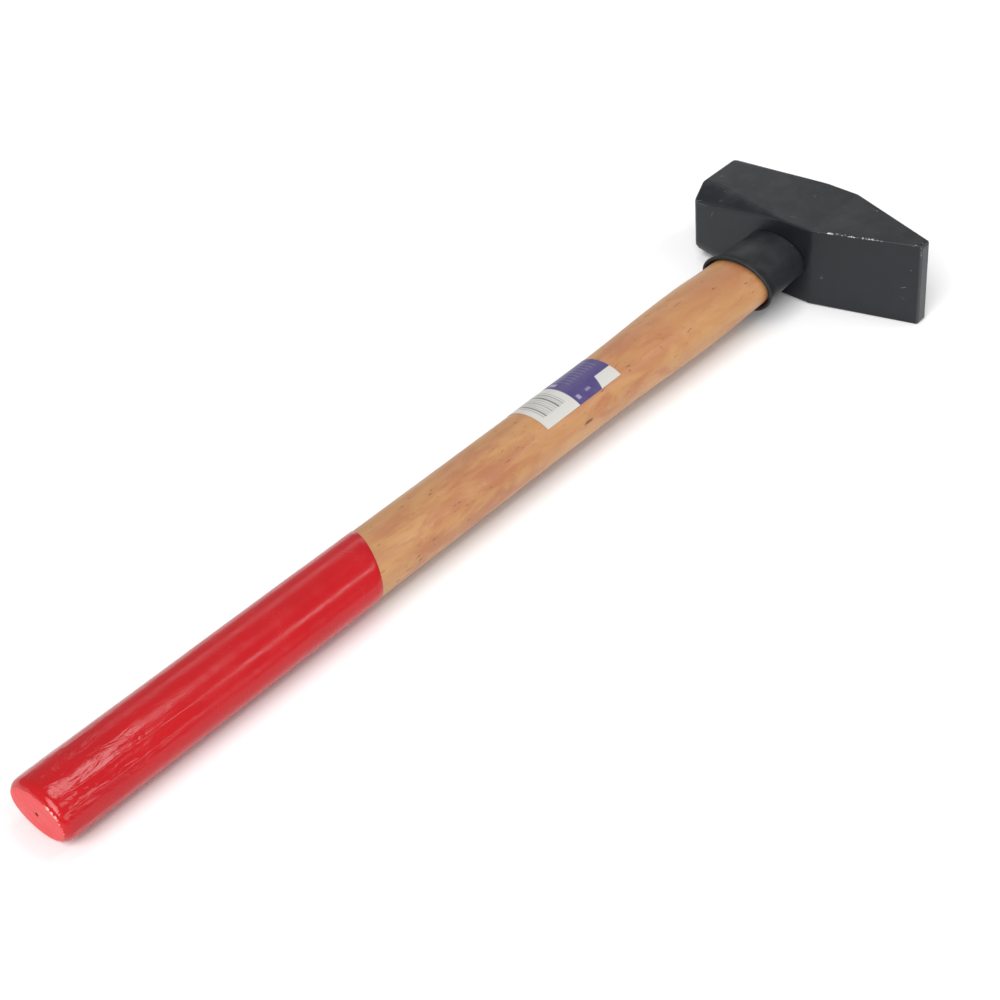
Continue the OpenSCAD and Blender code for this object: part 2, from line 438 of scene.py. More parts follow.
    @classmethod
    def _dust(cls) -> Tree:
        """Builds a thin film on what faces up.

        Returns:
            The node group.
        """
        graph, given, out = cls._start(Effect.DUST, {"Amount": 0.2, "Scale": 90.0}, ["Mask"])
        facing = graph.node("ShaderNodeSeparateXYZ")
        graph.feed(facing.inputs[0], graph.node("ShaderNodeNewGeometry").outputs["Normal"])
        upward = graph.remap(facing.outputs[2], 0.2, 1.0)
        film = graph.remap(graph.noise(graph.place(), given["Scale"], 6.0, 0.7), 0.35, 0.75)
        graph.feed(out.inputs["Mask"], graph.times(graph.times(upward, film), given["Amount"]))
        return graph.tree

    @classmethod
    def _spot(cls) -> Tree:
        """Builds a mask that is 1 about a point of the frame and fades to 0 at a reach from it.

        Returns:
            The node group.
        """
        inputs = {"Centre": (0.0, 0.0, 0.0), "Reach": 0.01}
        graph, given, out = cls._start(Effect.SPOT, inputs, ["Mask"])
        gap = graph.node("ShaderNodeVectorMath", operation="DISTANCE")
        graph.feed(gap.inputs[0], graph.place())
        graph.feed(gap.inputs[1], given["Centre"])
        full_share = 0.35
        share = graph.math("DIVIDE", gap.outputs["Value"], given["Reach"])
        graph.feed(out.inputs["Mask"], graph.remap(share, full_share, 1.0, 1.0, 0.0))
        return graph.tree


# ---------------------------------------------------------------------------------------------------
# Finishes
# ---------------------------------------------------------------------------------------------------


@dataclass(frozen=True)
class Spot:
    """A round place where an effect is stronger: its centre, how far it reaches and by how much."""

    centre: Point
    reach: float
    gain: float


class Finish:
    """What every finish has in common."""

    def start(self, name: str) -> tuple[bpy.types.Material, Graph, Node]:
        """Starts a material.

        Args:
            name: Name of the material.

        Returns:
            The material, its graph and its Principled shader.
        """
        material = bpy.data.materials.new(name)
        material.use_nodes = True
        material.node_tree.nodes.clear()
        graph = Graph(material.node_tree)
        shader = graph.node("ShaderNodeBsdfPrincipled")
        graph.feed(graph.node("ShaderNodeOutputMaterial").inputs["Surface"], shader.outputs[0])
        return material, graph, shader

    def material(self) -> bpy.types.Material:
        """Builds the material."""
        raise NotImplementedError


@dataclass(frozen=True)
class BlackPaint(Finish):
    """Black paint over steel, rubbed through at the edges, and painted paler on the pein's tip as a
    highlight.
    """

    name: str
    deep: Colour
    pale: Colour
    smooth: float
    rough: float
    specular: float = 0.5
    skin_scale: float = 95.0
    skin_height: float = 0.00010
    wear_reach: float = 0.1
    scuff_amount: float = 0.5
    dust_amount: float = 0.1
    steel: Colour = (0.42, 0.43, 0.44)
    dust_colour: Colour = (0.30, 0.29, 0.27)
    spots: tuple[Spot, ...] = ()
    # The pein's tip: where it lies, the band over which its painted highlight fades out, and the paler
    # grey painted there as a highlight.
    tip_y: float = -1.0
    sheen_from: float = 0.4 * MM
    sheen_to: float = 2.4 * MM
    painted_tip_sheen: Colour = (0.040, 0.042, 0.046)
    rub_scale: float = 340.0
    steel_shine: float = 0.85
    film: float = 0.35

    def material(self) -> bpy.types.Material:
        """Builds the paint, with its bare edges, its scuffs, its film of dust and a painted highlight on
        the pein's tip.

        Returns:
            The material.
        """
        material, graph, shader = self.start(self.name)
        mottle = graph.effect(Effect.MOTTLE, Scale=38.0, Contrast=2.2).outputs["Factor"]
        reach: Value = self.wear_reach
        for spot in self.spots:
            mask = graph.effect(Effect.SPOT, Centre=spot.centre, Reach=spot.reach).outputs["Mask"]
            reach = graph.plus(graph.times(mask, spot.gain), reach)
        edge = graph.attribute("edge")
        rubbed = graph.effect(Effect.EDGE_WEAR, Edge=edge, Scale=self.rub_scale, Reach=reach)
        scuffs = graph.effect(Effect.SCUFFS, Amount=self.scuff_amount)
        bare = graph.most(rubbed.outputs["Mask"], scuffs.outputs["Mask"])
        dust = graph.effect(Effect.DUST, Amount=self.dust_amount, Scale=60.0).outputs["Mask"]
        # Painted highlight: the pein's tip is painted a paler grey, standing in for the light that it
        # catches.
        across = graph.coordinate(1)
        tip = graph.remap(across, self.tip_y + self.sheen_from, self.tip_y + self.sheen_to, 1.0, 0.0)
        paint = graph.blend(tip, graph.blend(mottle, self.deep, self.pale), self.painted_tip_sheen)
        paint = graph.blend(dust, paint, self.dust_colour)
        graph.feed(shader.inputs["Base Color"], graph.blend(bare, paint, self.steel))
        graph.feed(shader.inputs["Metallic"], graph.times(bare, self.steel_shine))
        gloss = graph.remap(mottle, 0.0, 1.0, self.smooth, self.rough)
        graph.feed(shader.inputs["Roughness"], graph.plus(gloss, graph.times(dust, 0.5), clamp=True))
        skin = graph.effect(Effect.PAINT_SKIN, Scale=self.skin_scale, Grit=0.22).outputs["Height"]
        height = graph.minus(skin, graph.times(bare, self.film))
        graph.feed(shader.inputs["Normal"], graph.bump(height, 0.6, self.skin_height))
        shader.inputs["Specular IOR Level"].default_value = self.specular
        return material


@dataclass(frozen=True)
class Wood(Finish):
    """Hardwood with its grain along +X, bare or under clear lacquer."""

    name: str
    light: Colour
    dark: Colour
    blotch: Colour
    pore: Colour
    blotches: float
    pores: float
    smooth: float
    rough: float
    lacquer: float
    relief: float
    streak: Point = (0.0, 0.0, 1.0)
    streak_reach: float = 6 * MM
    # Where the butt's centre hole lies and how far the painted shade about it reaches.
    bore: Point = (0.0, 0.0, 1.0)
    bore_reach: float = 20 * MM
    patches: tuple[Spot, ...] = ()
    faded: float = 0.35
    lacquer_roughness: float = 0.30

    def material(self) -> bpy.types.Material:
        """Builds the wood, with its blotches, its pores, one dark streak and painted shade in the bore.

        Returns:
            The material.
        """
        material, graph, shader = self.start(self.name)
        grain = graph.effect(Effect.WOOD_GRAIN, Blotch=self.blotches, Pores=self.pores).outputs
        tone = graph.blend(graph.remap(grain["Grain"], 0.36, 0.66), self.light, self.dark)
        broad = graph.effect(Effect.MOTTLE, Scale=11.0, Contrast=1.8).outputs["Factor"]
        tone = graph.blend(graph.times(broad, self.faded), tone, self.light)
        reddened = grain["Blotches"]
        for patch in self.patches:
            near = graph.effect(Effect.SPOT, Centre=patch.centre, Reach=patch.reach).outputs["Mask"]
            here = graph.times(graph.times(near, grain["Cloud"]), patch.gain)
            reddened = graph.most(reddened, here)
        tone = graph.blend(reddened, tone, self.blotch)
        knot = self._streak(graph)
        # Painted shade: the wood in and about the butt's centre hole is painted as dark as the pores.
        bore_shade = graph.effect(Effect.SPOT, Centre=self.bore, Reach=self.bore_reach).outputs["Mask"]
        flecks_and_bore_shade = graph.most(graph.most(grain["Flecks"], knot), bore_shade)
        graph.feed(shader.inputs["Base Color"], graph.blend(flecks_and_bore_shade, tone, self.pore))
        gloss = graph.remap(grain["Grain"], 0.3, 0.7, self.smooth, self.rough)
        graph.feed(shader.inputs["Roughness"], gloss)
        graph.feed(shader.inputs["Normal"], graph.bump(grain["Height"], 0.5, self.relief))
        shader.inputs["Coat Weight"].default_value = self.lacquer
        shader.inputs["Coat Roughness"].default_value = self.lacquer_roughness
        return material

    def _streak(self, graph: Graph) -> Socket:
        """Builds the mask of one short dark streak that runs along the grain.

        Args:
            graph: Graph of the material.

        Returns:
            The mask.
        """
        narrower, faint_at, darkest = 5.0, 1.7, 0.9
        away = graph.node("ShaderNodeVectorMath", operation="SUBTRACT")
        graph.feed(away.inputs[0], graph.place())
        away.inputs[1].default_value = self.streak
        squeezed = graph.node("ShaderNodeVectorMath", operation="MULTIPLY")
        graph.feed(squeezed.inputs[0], away.outputs[0])
        squeezed.inputs[1].default_value = (1.0, narrower, narrower)
        length = graph.node("ShaderNodeVectorMath", operation="LENGTH")
        graph.feed(length.inputs[0], squeezed.outputs[0])
        fibres = graph.noise(graph.stretch((200.0, 900.0, 900.0)), 1.0, 3.0)
        reach = graph.plus(length.outputs["Value"], graph.times(fibres, self.streak_reach))
        return graph.remap(reach, self.streak_reach, self.streak_reach * faint_at, darkest, 0.0)


@dataclass(frozen=True)
class HammeredSteel(Finish):
    """Bare wedge steel, dented by the hammer that drove it in."""

    name: str
    bright: Colour
    dull: Colour
    smooth: float = 0.32
    rough: float = 0.55
    dent_scale: float = 420.0
    dent_depth: float = 0.4 * MM

    def material(self) -> bpy.types.Material:
        """Builds the dented and tarnished steel.

        Returns:
            The material.
        """
        material, graph, shader = self.start(self.name)
        tarnish = graph.effect(Effect.MOTTLE, Scale=260.0, Contrast=2.6).outputs["Factor"]
        scuffs = graph.effect(Effect.SCUFFS, Amount=0.8).outputs["Mask"]
        tone = graph.blend(tarnish, self.bright, self.dull)
        graph.feed(shader.inputs["Base Color"], graph.blend(scuffs, tone, self.bright))
        graph.feed(shader.inputs["Roughness"], graph.remap(tarnish, 0.0, 1.0, self.smooth, self.rough))
        dents = graph.effect(Effect.PAINT_SKIN, Scale=self.dent_scale, Grit=0.3).outputs["Height"]
        graph.feed(shader.inputs["Normal"], graph.bump(dents, 0.8, self.dent_depth))
        shader.inputs["Metallic"].default_value = 1.0
        return material


@dataclass(frozen=True)
class DipCoat(Finish):
    """Glossy red dip, thin and chipped round the butt's rim."""

    name: str
    red: Colour
    deep: Colour
    end_face: Colour
    chip: Colour
    butt_x: float
    rim_point: Point
    rim_reach: float = 16 * MM
    rim_gain: float = 0.32
    wear_reach: float = 0.08
    chip_scale: float = 480.0
    gloss_low: float = 0.17
    gloss_high: float = 0.30
    ragged: float = 0.9 * MM
    face_from: float = 0.32 * MM
    face_to: float = 0.58 * MM
    face_dullness: float = 0.3
    chip_dullness: float = 0.35
    wrinkle_from: float = 20 * MM
    wrinkle_to: float = 160 * MM
    wrinkle_left: float = 0.12
    wrinkle_height: float = 2.4
    wrinkle_gloss: float = 0.07
    relief: float = 0.5 * MM
    specular: float = 0.38

    def material(self) -> bpy.types.Material:
        """Builds the dip: chipped round the butt and more wrinkled towards it.

        Returns:
            The material.
        """
        material, graph, shader = self.start(self.name)
        along = graph.coordinate(0)
        broad = graph.effect(Effect.MOTTLE, Scale=16.0, Contrast=1.8).outputs["Factor"]
        tone = graph.blend(broad, self.red, self.deep)
        uneven = graph.minus(graph.noise(graph.place(), 260.0, 4.0, 0.6), 0.5)
        back = graph.plus(along, graph.times(uneven, self.ragged))
        face = graph.remap(back, self.butt_x + self.face_from, self.butt_x + self.face_to, 1.0, 0.0)
        tone = graph.blend(face, tone, self.end_face)
        near = graph.effect(Effect.SPOT, Centre=self.rim_point, Reach=self.rim_reach).outputs["Mask"]
        edge = graph.attribute("edge")
        reach = graph.plus(graph.times(near, self.rim_gain), self.wear_reach)
        worn = graph.effect(Effect.EDGE_WEAR, Edge=edge, Scale=self.chip_scale, Reach=reach)
        chips = worn.outputs["Mask"]
        graph.feed(shader.inputs["Base Color"], graph.blend(chips, tone, self.chip))
        smear = graph.effect(Effect.MOTTLE, Scale=55.0, Contrast=2.4).outputs["Factor"]
        wrinkled = graph.remap(along, self.butt_x + self.wrinkle_from, self.butt_x + self.wrinkle_to,
                               1.0, self.wrinkle_left)
        gloss = graph.remap(smear, 0.0, 1.0, self.gloss_low, self.gloss_high)
        gloss = graph.minus(gloss, graph.times(wrinkled, self.wrinkle_gloss))
        gloss = graph.plus(gloss, graph.times(face, self.face_dullness), clamp=True)
        gloss = graph.plus(gloss, graph.times(chips, self.chip_dullness), clamp=True)
        graph.feed(shader.inputs["Roughness"], gloss)
        skin = graph.effect(Effect.PAINT_SKIN, Scale=70.0, Grit=0.05).outputs["Height"]
        wrinkle = graph.noise(graph.stretch((48.0, 130.0, 130.0)), 1.0, 3.0, 0.55, 0.8)
        risen = graph.times(wrinkle, graph.times(wrinkled, self.wrinkle_height))
        height = graph.plus(skin, risen)
        graph.feed(shader.inputs["Normal"], graph.bump(height, 0.5, self.relief))
        shader.inputs["Specular IOR Level"].default_value = self.specular
        return material


@dataclass(frozen=True)
class Bar:
    """A printed bar: where it starts and ends along the label and across it, as shares, and how dark."""

    start: float
    end: float
    low: float
    high: float
    ink: float


@dataclass(frozen=True)
class LabelPaper(Finish):
    """Coated paper with one white and one violet field and plain printed bars."""

    name: str
    paper: Colour
    violet: Colour
    grey: Colour
    pale_ink: Colour
    split: float
    white_bars: tuple[Bar, ...]
    violet_bars: tuple[Bar, ...]
    white_corner: Bar = Bar(0.74, 2.0, 0.80, 2.0, 1.0)
    corner_slant: float = 0.25
    split_soft: float = 0.004
    bar_soft: float = 0.006
    smudge: Colour = (0.45, 0.42, 0.40)
    smudge_share: float = 0.10
    smooth: float = 0.30
    rough: float = 0.46
    relief: float = 0.1 * MM

    def material(self) -> bpy.types.Material:
        """Builds the paper with its two fields and its printed bars.

        Returns:
            The material.
        """
        material, graph, shader = self.start(self.name)
        along, across = graph.attribute("label_along"), graph.attribute("label_across")
        smudge = graph.effect(Effect.MOTTLE, Scale=160.0, Contrast=1.2).outputs["Factor"]
        past_split = graph.remap(along, self.split - self.split_soft, self.split + self.split_soft)
        slanted = graph.plus(along, graph.times(graph.minus(across, 1.0), self.corner_slant))
        corner = self._box(graph, slanted, across, self.white_corner)
        violet = graph.minus(past_split, corner, clamp=True)
        tone = graph.blend(violet, self.paper, self.violet)
        tone = graph.blend(self._bars(graph, along, across, self.white_bars), tone, self.grey)
        tone = graph.blend(self._bars(graph, along, across, self.violet_bars), tone, self.pale_ink)
        tone = graph.blend(graph.times(smudge, self.smudge_share), tone, self.smudge)
        graph.feed(shader.inputs["Base Color"], tone)
        graph.feed(shader.inputs["Roughness"], graph.remap(smudge, 0.0, 1.0, self.smooth, self.rough))
        fibres = graph.effect(Effect.PAINT_SKIN, Scale=260.0, Grit=0.4).outputs["Height"]
        graph.feed(shader.inputs["Normal"], graph.bump(fibres, 0.25, self.relief))
        return material

    def _box(self, graph: Graph, along: Value, across: Value, bar: Bar) -> Socket:
        """Builds the soft-edged mask of one bar.

        Args:
            graph: Graph of the material.
            along: Share of the way along the label.
            across: Share of the way across it.
            bar: The bar.

        Returns:
            The mask, as dark as its ink.
        """
        soft = self.bar_soft
        sides = (
            graph.remap(along, bar.start - soft, bar.start + soft),
            graph.remap(along, bar.end - soft, bar.end + soft, 1.0, 0.0),
            graph.remap(across, bar.low - soft, bar.low + soft),
            graph.remap(across, bar.high - soft, bar.high + soft, 1.0, 0.0),
        )
        mask = graph.times(graph.times(sides[0], sides[1]), graph.times(sides[2], sides[3]))
        return graph.times(mask, bar.ink)

    def _bars(self, graph: Graph, along: Value, across: Value, bars: Iterable[Bar]) -> Value:
        """Builds the mask of several bars.

        Args:
            graph: Graph of the material.
            along: Share of the way along the label.
            across: Share of the way across it.
            bars: The bars.

        Returns:
            The mask.
        """
        mask: Value = 0.0
        for bar in bars:
            mask = graph.most(mask, self._box(graph, along, across, bar))
        return mask


@dataclass(frozen=True)
class FloorCard(Finish):
    """Matt white card under the hammer."""

    name: str
    white: Colour
    shade: Colour
    smooth: float = 0.75
    rough: float = 0.9
    specular: float = 0.2

    def material(self) -> bpy.types.Material:
        """Builds the card.

        Returns:
            The material.
        """
        material, graph, shader = self.start(self.name)
        cloud = graph.effect(Effect.MOTTLE, Scale=3.0, Contrast=1.0).outputs["Factor"]
        graph.feed(shader.inputs["Base Color"], graph.blend(cloud, self.white, self.shade))
        graph.feed(shader.inputs["Roughness"], graph.remap(cloud, 0.0, 1.0, self.smooth, self.rough))
        shader.inputs["Specular IOR Level"].default_value = self.specular
        return material


# ---------------------------------------------------------------------------------------------------
# Meshes
# ---------------------------------------------------------------------------------------------------


class MeshKit:
    """Mesh work that several sub-assemblies share."""

    @staticmethod
    def make(name: str, points: Sequence[Vector], faces: Sequence[Sequence[int]]) -> bpy.types.Object:
        """Makes an object from points and faces, with its faces turned outwards.

        Args:
            name: Name of the object.
            points: Its points.
            faces: Its faces, as point numbers.

        Returns:
            The object, linked to the scene.
        """
        mesh = bpy.data.meshes.new(name)
        mesh.from_pydata([tuple(p) for p in points], [], [tuple(f) for f in faces])
        work = bmesh.new()
        work.from_mesh(mesh)
        bmesh.ops.recalc_face_normals(work, faces=work.faces)
        work.to_mesh(mesh)
        work.free()
        made = bpy.data.objects.new(name, mesh)
        bpy.context.scene.collection.objects.link(made)
        return made

    @staticmethod
    def loft(rings: Sequence[Sequence[Vector]],
             loop: bool = False) -> tuple[list[Vector], list[list[int]]]:
        """Joins rings of equal length with quads.

        Args:
            rings: The rings, in order.
            loop: Whether the last ring is joined to the first. If not, both are closed with a face.

        Returns:
            Points and faces.
        """
        count = len(rings[0])
        points = [p for ring in rings for p in ring]
        faces = []
        last = len(rings) if loop else len(rings) - 1
        for k in range(last):
            here, there = k * count, (k + 1) % len(rings) * count
            for i in range(count):
                j = (i + 1) % count
                faces.append([here + i, here + j, there + j, there + i])
        if not loop:
            faces.append(list(range(count)))
            faces.append([(len(rings) - 1) * count + i for i in reversed(range(count))])
        return points, faces

    @staticmethod
    def smooth(piece: bpy.types.Object, sharp_degrees: float, weighted: bool = False) -> None:
        """Shades a piece smooth except at its sharp edges.

        Args:
            piece: The piece.
            sharp_degrees: Bend from which an edge stays sharp.
            weighted: Whether large faces keep their own flat normal.
        """
        work = bmesh.new()
        work.from_mesh(piece.data)
        limit = math.radians(sharp_degrees)
        for edge in work.edges:
            edge.smooth = not (len(edge.link_faces) == 2 and edge.calc_face_angle(0.0) > limit)
        for face in work.faces:
            face.smooth = True
        work.to_mesh(piece.data)
        work.free()
        if weighted:
            weigh = piece.modifiers.new("flat_faces", "WEIGHTED_NORMAL")
            weigh.keep_sharp = True
            weigh.weight = 100

    @staticmethod
    def carve(piece: bpy.types.Object, cutter: bpy.types.Object, operation: str = "DIFFERENCE") -> None:
        """Cuts one piece with another, which is removed.

        Args:
            piece: What is cut.
            cutter: What cuts it.
            operation: Blender's name of the Boolean operation.
        """
        cut = piece.modifiers.new("cut", "BOOLEAN")
        cut.operation, cut.object, cut.solver = operation, cutter, "EXACT"
        MeshKit.apply(piece)
        bpy.data.objects.remove(cutter)

    @staticmethod
    def apply(piece: bpy.types.Object) -> None:
        """Turns a piece's modifiers into its mesh.

        Args:
            piece: The piece.
        """
        bpy.context.view_layer.update()
        evaluated = piece.evaluated_get(bpy.context.evaluated_depsgraph_get())
        mesh = bpy.data.meshes.new_from_object(evaluated)
        piece.modifiers.clear()
        piece.data = mesh

    @staticmethod
    def number(piece: bpy.types.Object, name: str, values: Sequence[float]) -> None:
        """Stores one number at each point of a piece."""
        layer = piece.data.attributes.new(name, "FLOAT", "POINT")
        layer.data.foreach_set("value", list(values))

    @staticmethod
    def hand_over(piece: bpy.types.Object, finish: Finish, slot: str, *nodes: str) -> None:
        """Dresses a piece and puts it in place of its CAD nodes.

        Args:
            piece: The piece.
            finish: Its finish.
            slot: The record's material slot. It is not used.
            nodes: The CAD nodes that it stands for.
        """
        piece.data.materials.clear()
        piece.data.materials.append(finish.material())
        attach(piece, "root")
        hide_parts(*nodes)


def ease(share: float) -> float:
    """Returns a share with a slow start and a slow end."""
    return share * share * (3 - 2 * share)


def spread(start: float, end: float, step: float) -> list[float]:
    """Spaces values evenly from start to end, both included, about a step apart."""
    count = max(1, round(abs(end - start) / step))
    return [start + (end - start) * i / count for i in range(count + 1)]


@dataclass(frozen=True)
class Station:
    """A place along the handle with its half width and half thickness."""

    x: float
    half_width: float
    half_thickness: float


@dataclass(frozen=True)
class HandleShape:
    """The handle's outside, which its coat, label and collar follow."""

    stations: tuple[Station, ...]
    axis_z: float
    butt_face_width: float = 22.6 * MM
    butt_face_thickness: float = 13.4 * MM
    butt_round: float = 5.5 * MM
    bore_radius: float = 1.5 * MM
    bore_depth: float = 14 * MM
    wave_height: float = 0.12 * MM
    wave_along: float = 16.0
    wave_around: float = 1.3
    wave_fade: float = 30 * MM

    @property
    def butt_x(self) -> float:
        """Where the butt's end face lies."""
        return self.stations[0].x

    def half_sizes(self, x: float) -> tuple[float, float]:
        """Measures the handle before the butt's rounding.

        Args:
            x: Place along the handle.

        Returns:
            Half its width and half its thickness.
        """
        places = self.stations
        if x <= places[0].x:
            return places[0].half_width, places[0].half_thickness
        for here, there in zip(places, places[1:]):
            if x <= there.x:
                share = ease((x - here.x) / (there.x - here.x))
                return (here.half_width + (there.half_width - here.half_width) * share,
                        here.half_thickness + (there.half_thickness - here.half_thickness) * share)
        return places[-1].half_width, places[-1].half_thickness

    def rounding(self, x: float) -> float:
        """Finds how much the butt's rounding takes off.

        Args:
            x: Place along the handle.

        Returns:
            A share: 1 at the flat end and 0 past the rounding.
        """
        if x >= self.butt_x + self.butt_round:
            return 0.0
        share = (self.butt_x + self.butt_round - x) / self.butt_round
        return 1 - math.sqrt(max(0.0, 1 - share * share))

    def point(self, x: float, angle: float, grow: float = 0.0) -> Vector:
        """Finds a point on the handle.

        Args:
            x: Place along the handle.
            angle: Angle about its axis, in radians, from the striking face's side over the top.
            grow: How far the point stands off the surface.

        Returns:
            The point.
        """
        wide, thick = self.half_sizes(x)
        left = self.rounding(x)
        wide -= (self.stations[0].half_width - self.butt_face_width) * left
        thick -= (self.stations[0].half_thickness - self.butt_face_thickness) * left
        across, up = math.cos(angle), math.sin(angle)
        where = Vector((x * self.wave_along, across * self.wave_around, up * self.wave_around))
        fade = min(1.0, max(0.0, (self.stations[-1].x - x) / self.wave_fade))
        grow += self.wave_height * noise.noise(where) * fade
        return Vector((x, (wide + grow) * across, self.axis_z + (thick + grow) * up))

    def ring(self, x: float, grow: float, sides: int) -> list[Vector]:
        """Returns evenly spaced points round the handle at x."""
        return [self.point(x, 2 * math.pi * i / sides, grow) for i in range(sides)]


@dataclass(frozen=True)
class EyeShape:
    """The oval eye, waisted along the handle, and the tenon that fills it."""

    radius: float = 12.5 * MM
    half_span: float = 7.5 * MM
    flare: float = 1.5 * MM
    waist_x: float = -6.0 * MM
    half_depth: float = 31.75 * MM
    axis_z: float = 33.0 * MM

    def radius_at(self, x: float) -> float:
        """Returns the radius of the eye's round ends at x."""
        run = self.half_depth - self.waist_x if x > self.waist_x else self.half_depth + self.waist_x
        return self.radius + self.flare * abs(x - self.waist_x) / run

    def ring(self, x: float, radius: float, sides: int) -> list[Vector]:
        """Finds points round the oval, each in the direction of its own angle.

        Args:
            x: Place along the handle.
            radius: Radius of the oval's round ends.
            sides: How many points.

        Returns:
            The points.
        """
        points = []
        nearly_level = 1e-9
        for i in range(sides):
            angle = 2 * math.pi * i / sides
            across, up = math.cos(angle), math.sin(angle)
            reach = radius / max(abs(up), nearly_level)
            if abs(reach * across) > self.half_span:
                run = self.half_span * abs(across)
                reach = run + math.sqrt(run * run - self.half_span ** 2 + radius ** 2)
            points.append(Vector((x, reach * across, self.axis_z + reach * up)))
        return points


# ---------------------------------------------------------------------------------------------------
# Sub-assemblies
# ---------------------------------------------------------------------------------------------------


class Corner(Enum):
    """Kinds of corner on the head's block, from its striking face to its pein."""

    CHEEK_FACE = "on a cheek, at the striking face"
    SIDE_FACE = "on a side, at the striking face"
    CHEEK_SOFT = "on a cheek, where the rounder edges by the face end"
    SIDE_SOFT = "on a side, where the rounder edges by the face end"
    RUN_OUT = "where a corner's bevel has run out"
    SHOULDER = "where the slopes of the pein begin"
    PEIN = "at the tip of the pein"


# A corner of the block: its kind, its side and its cheek.
Place = tuple[Corner, int, int]


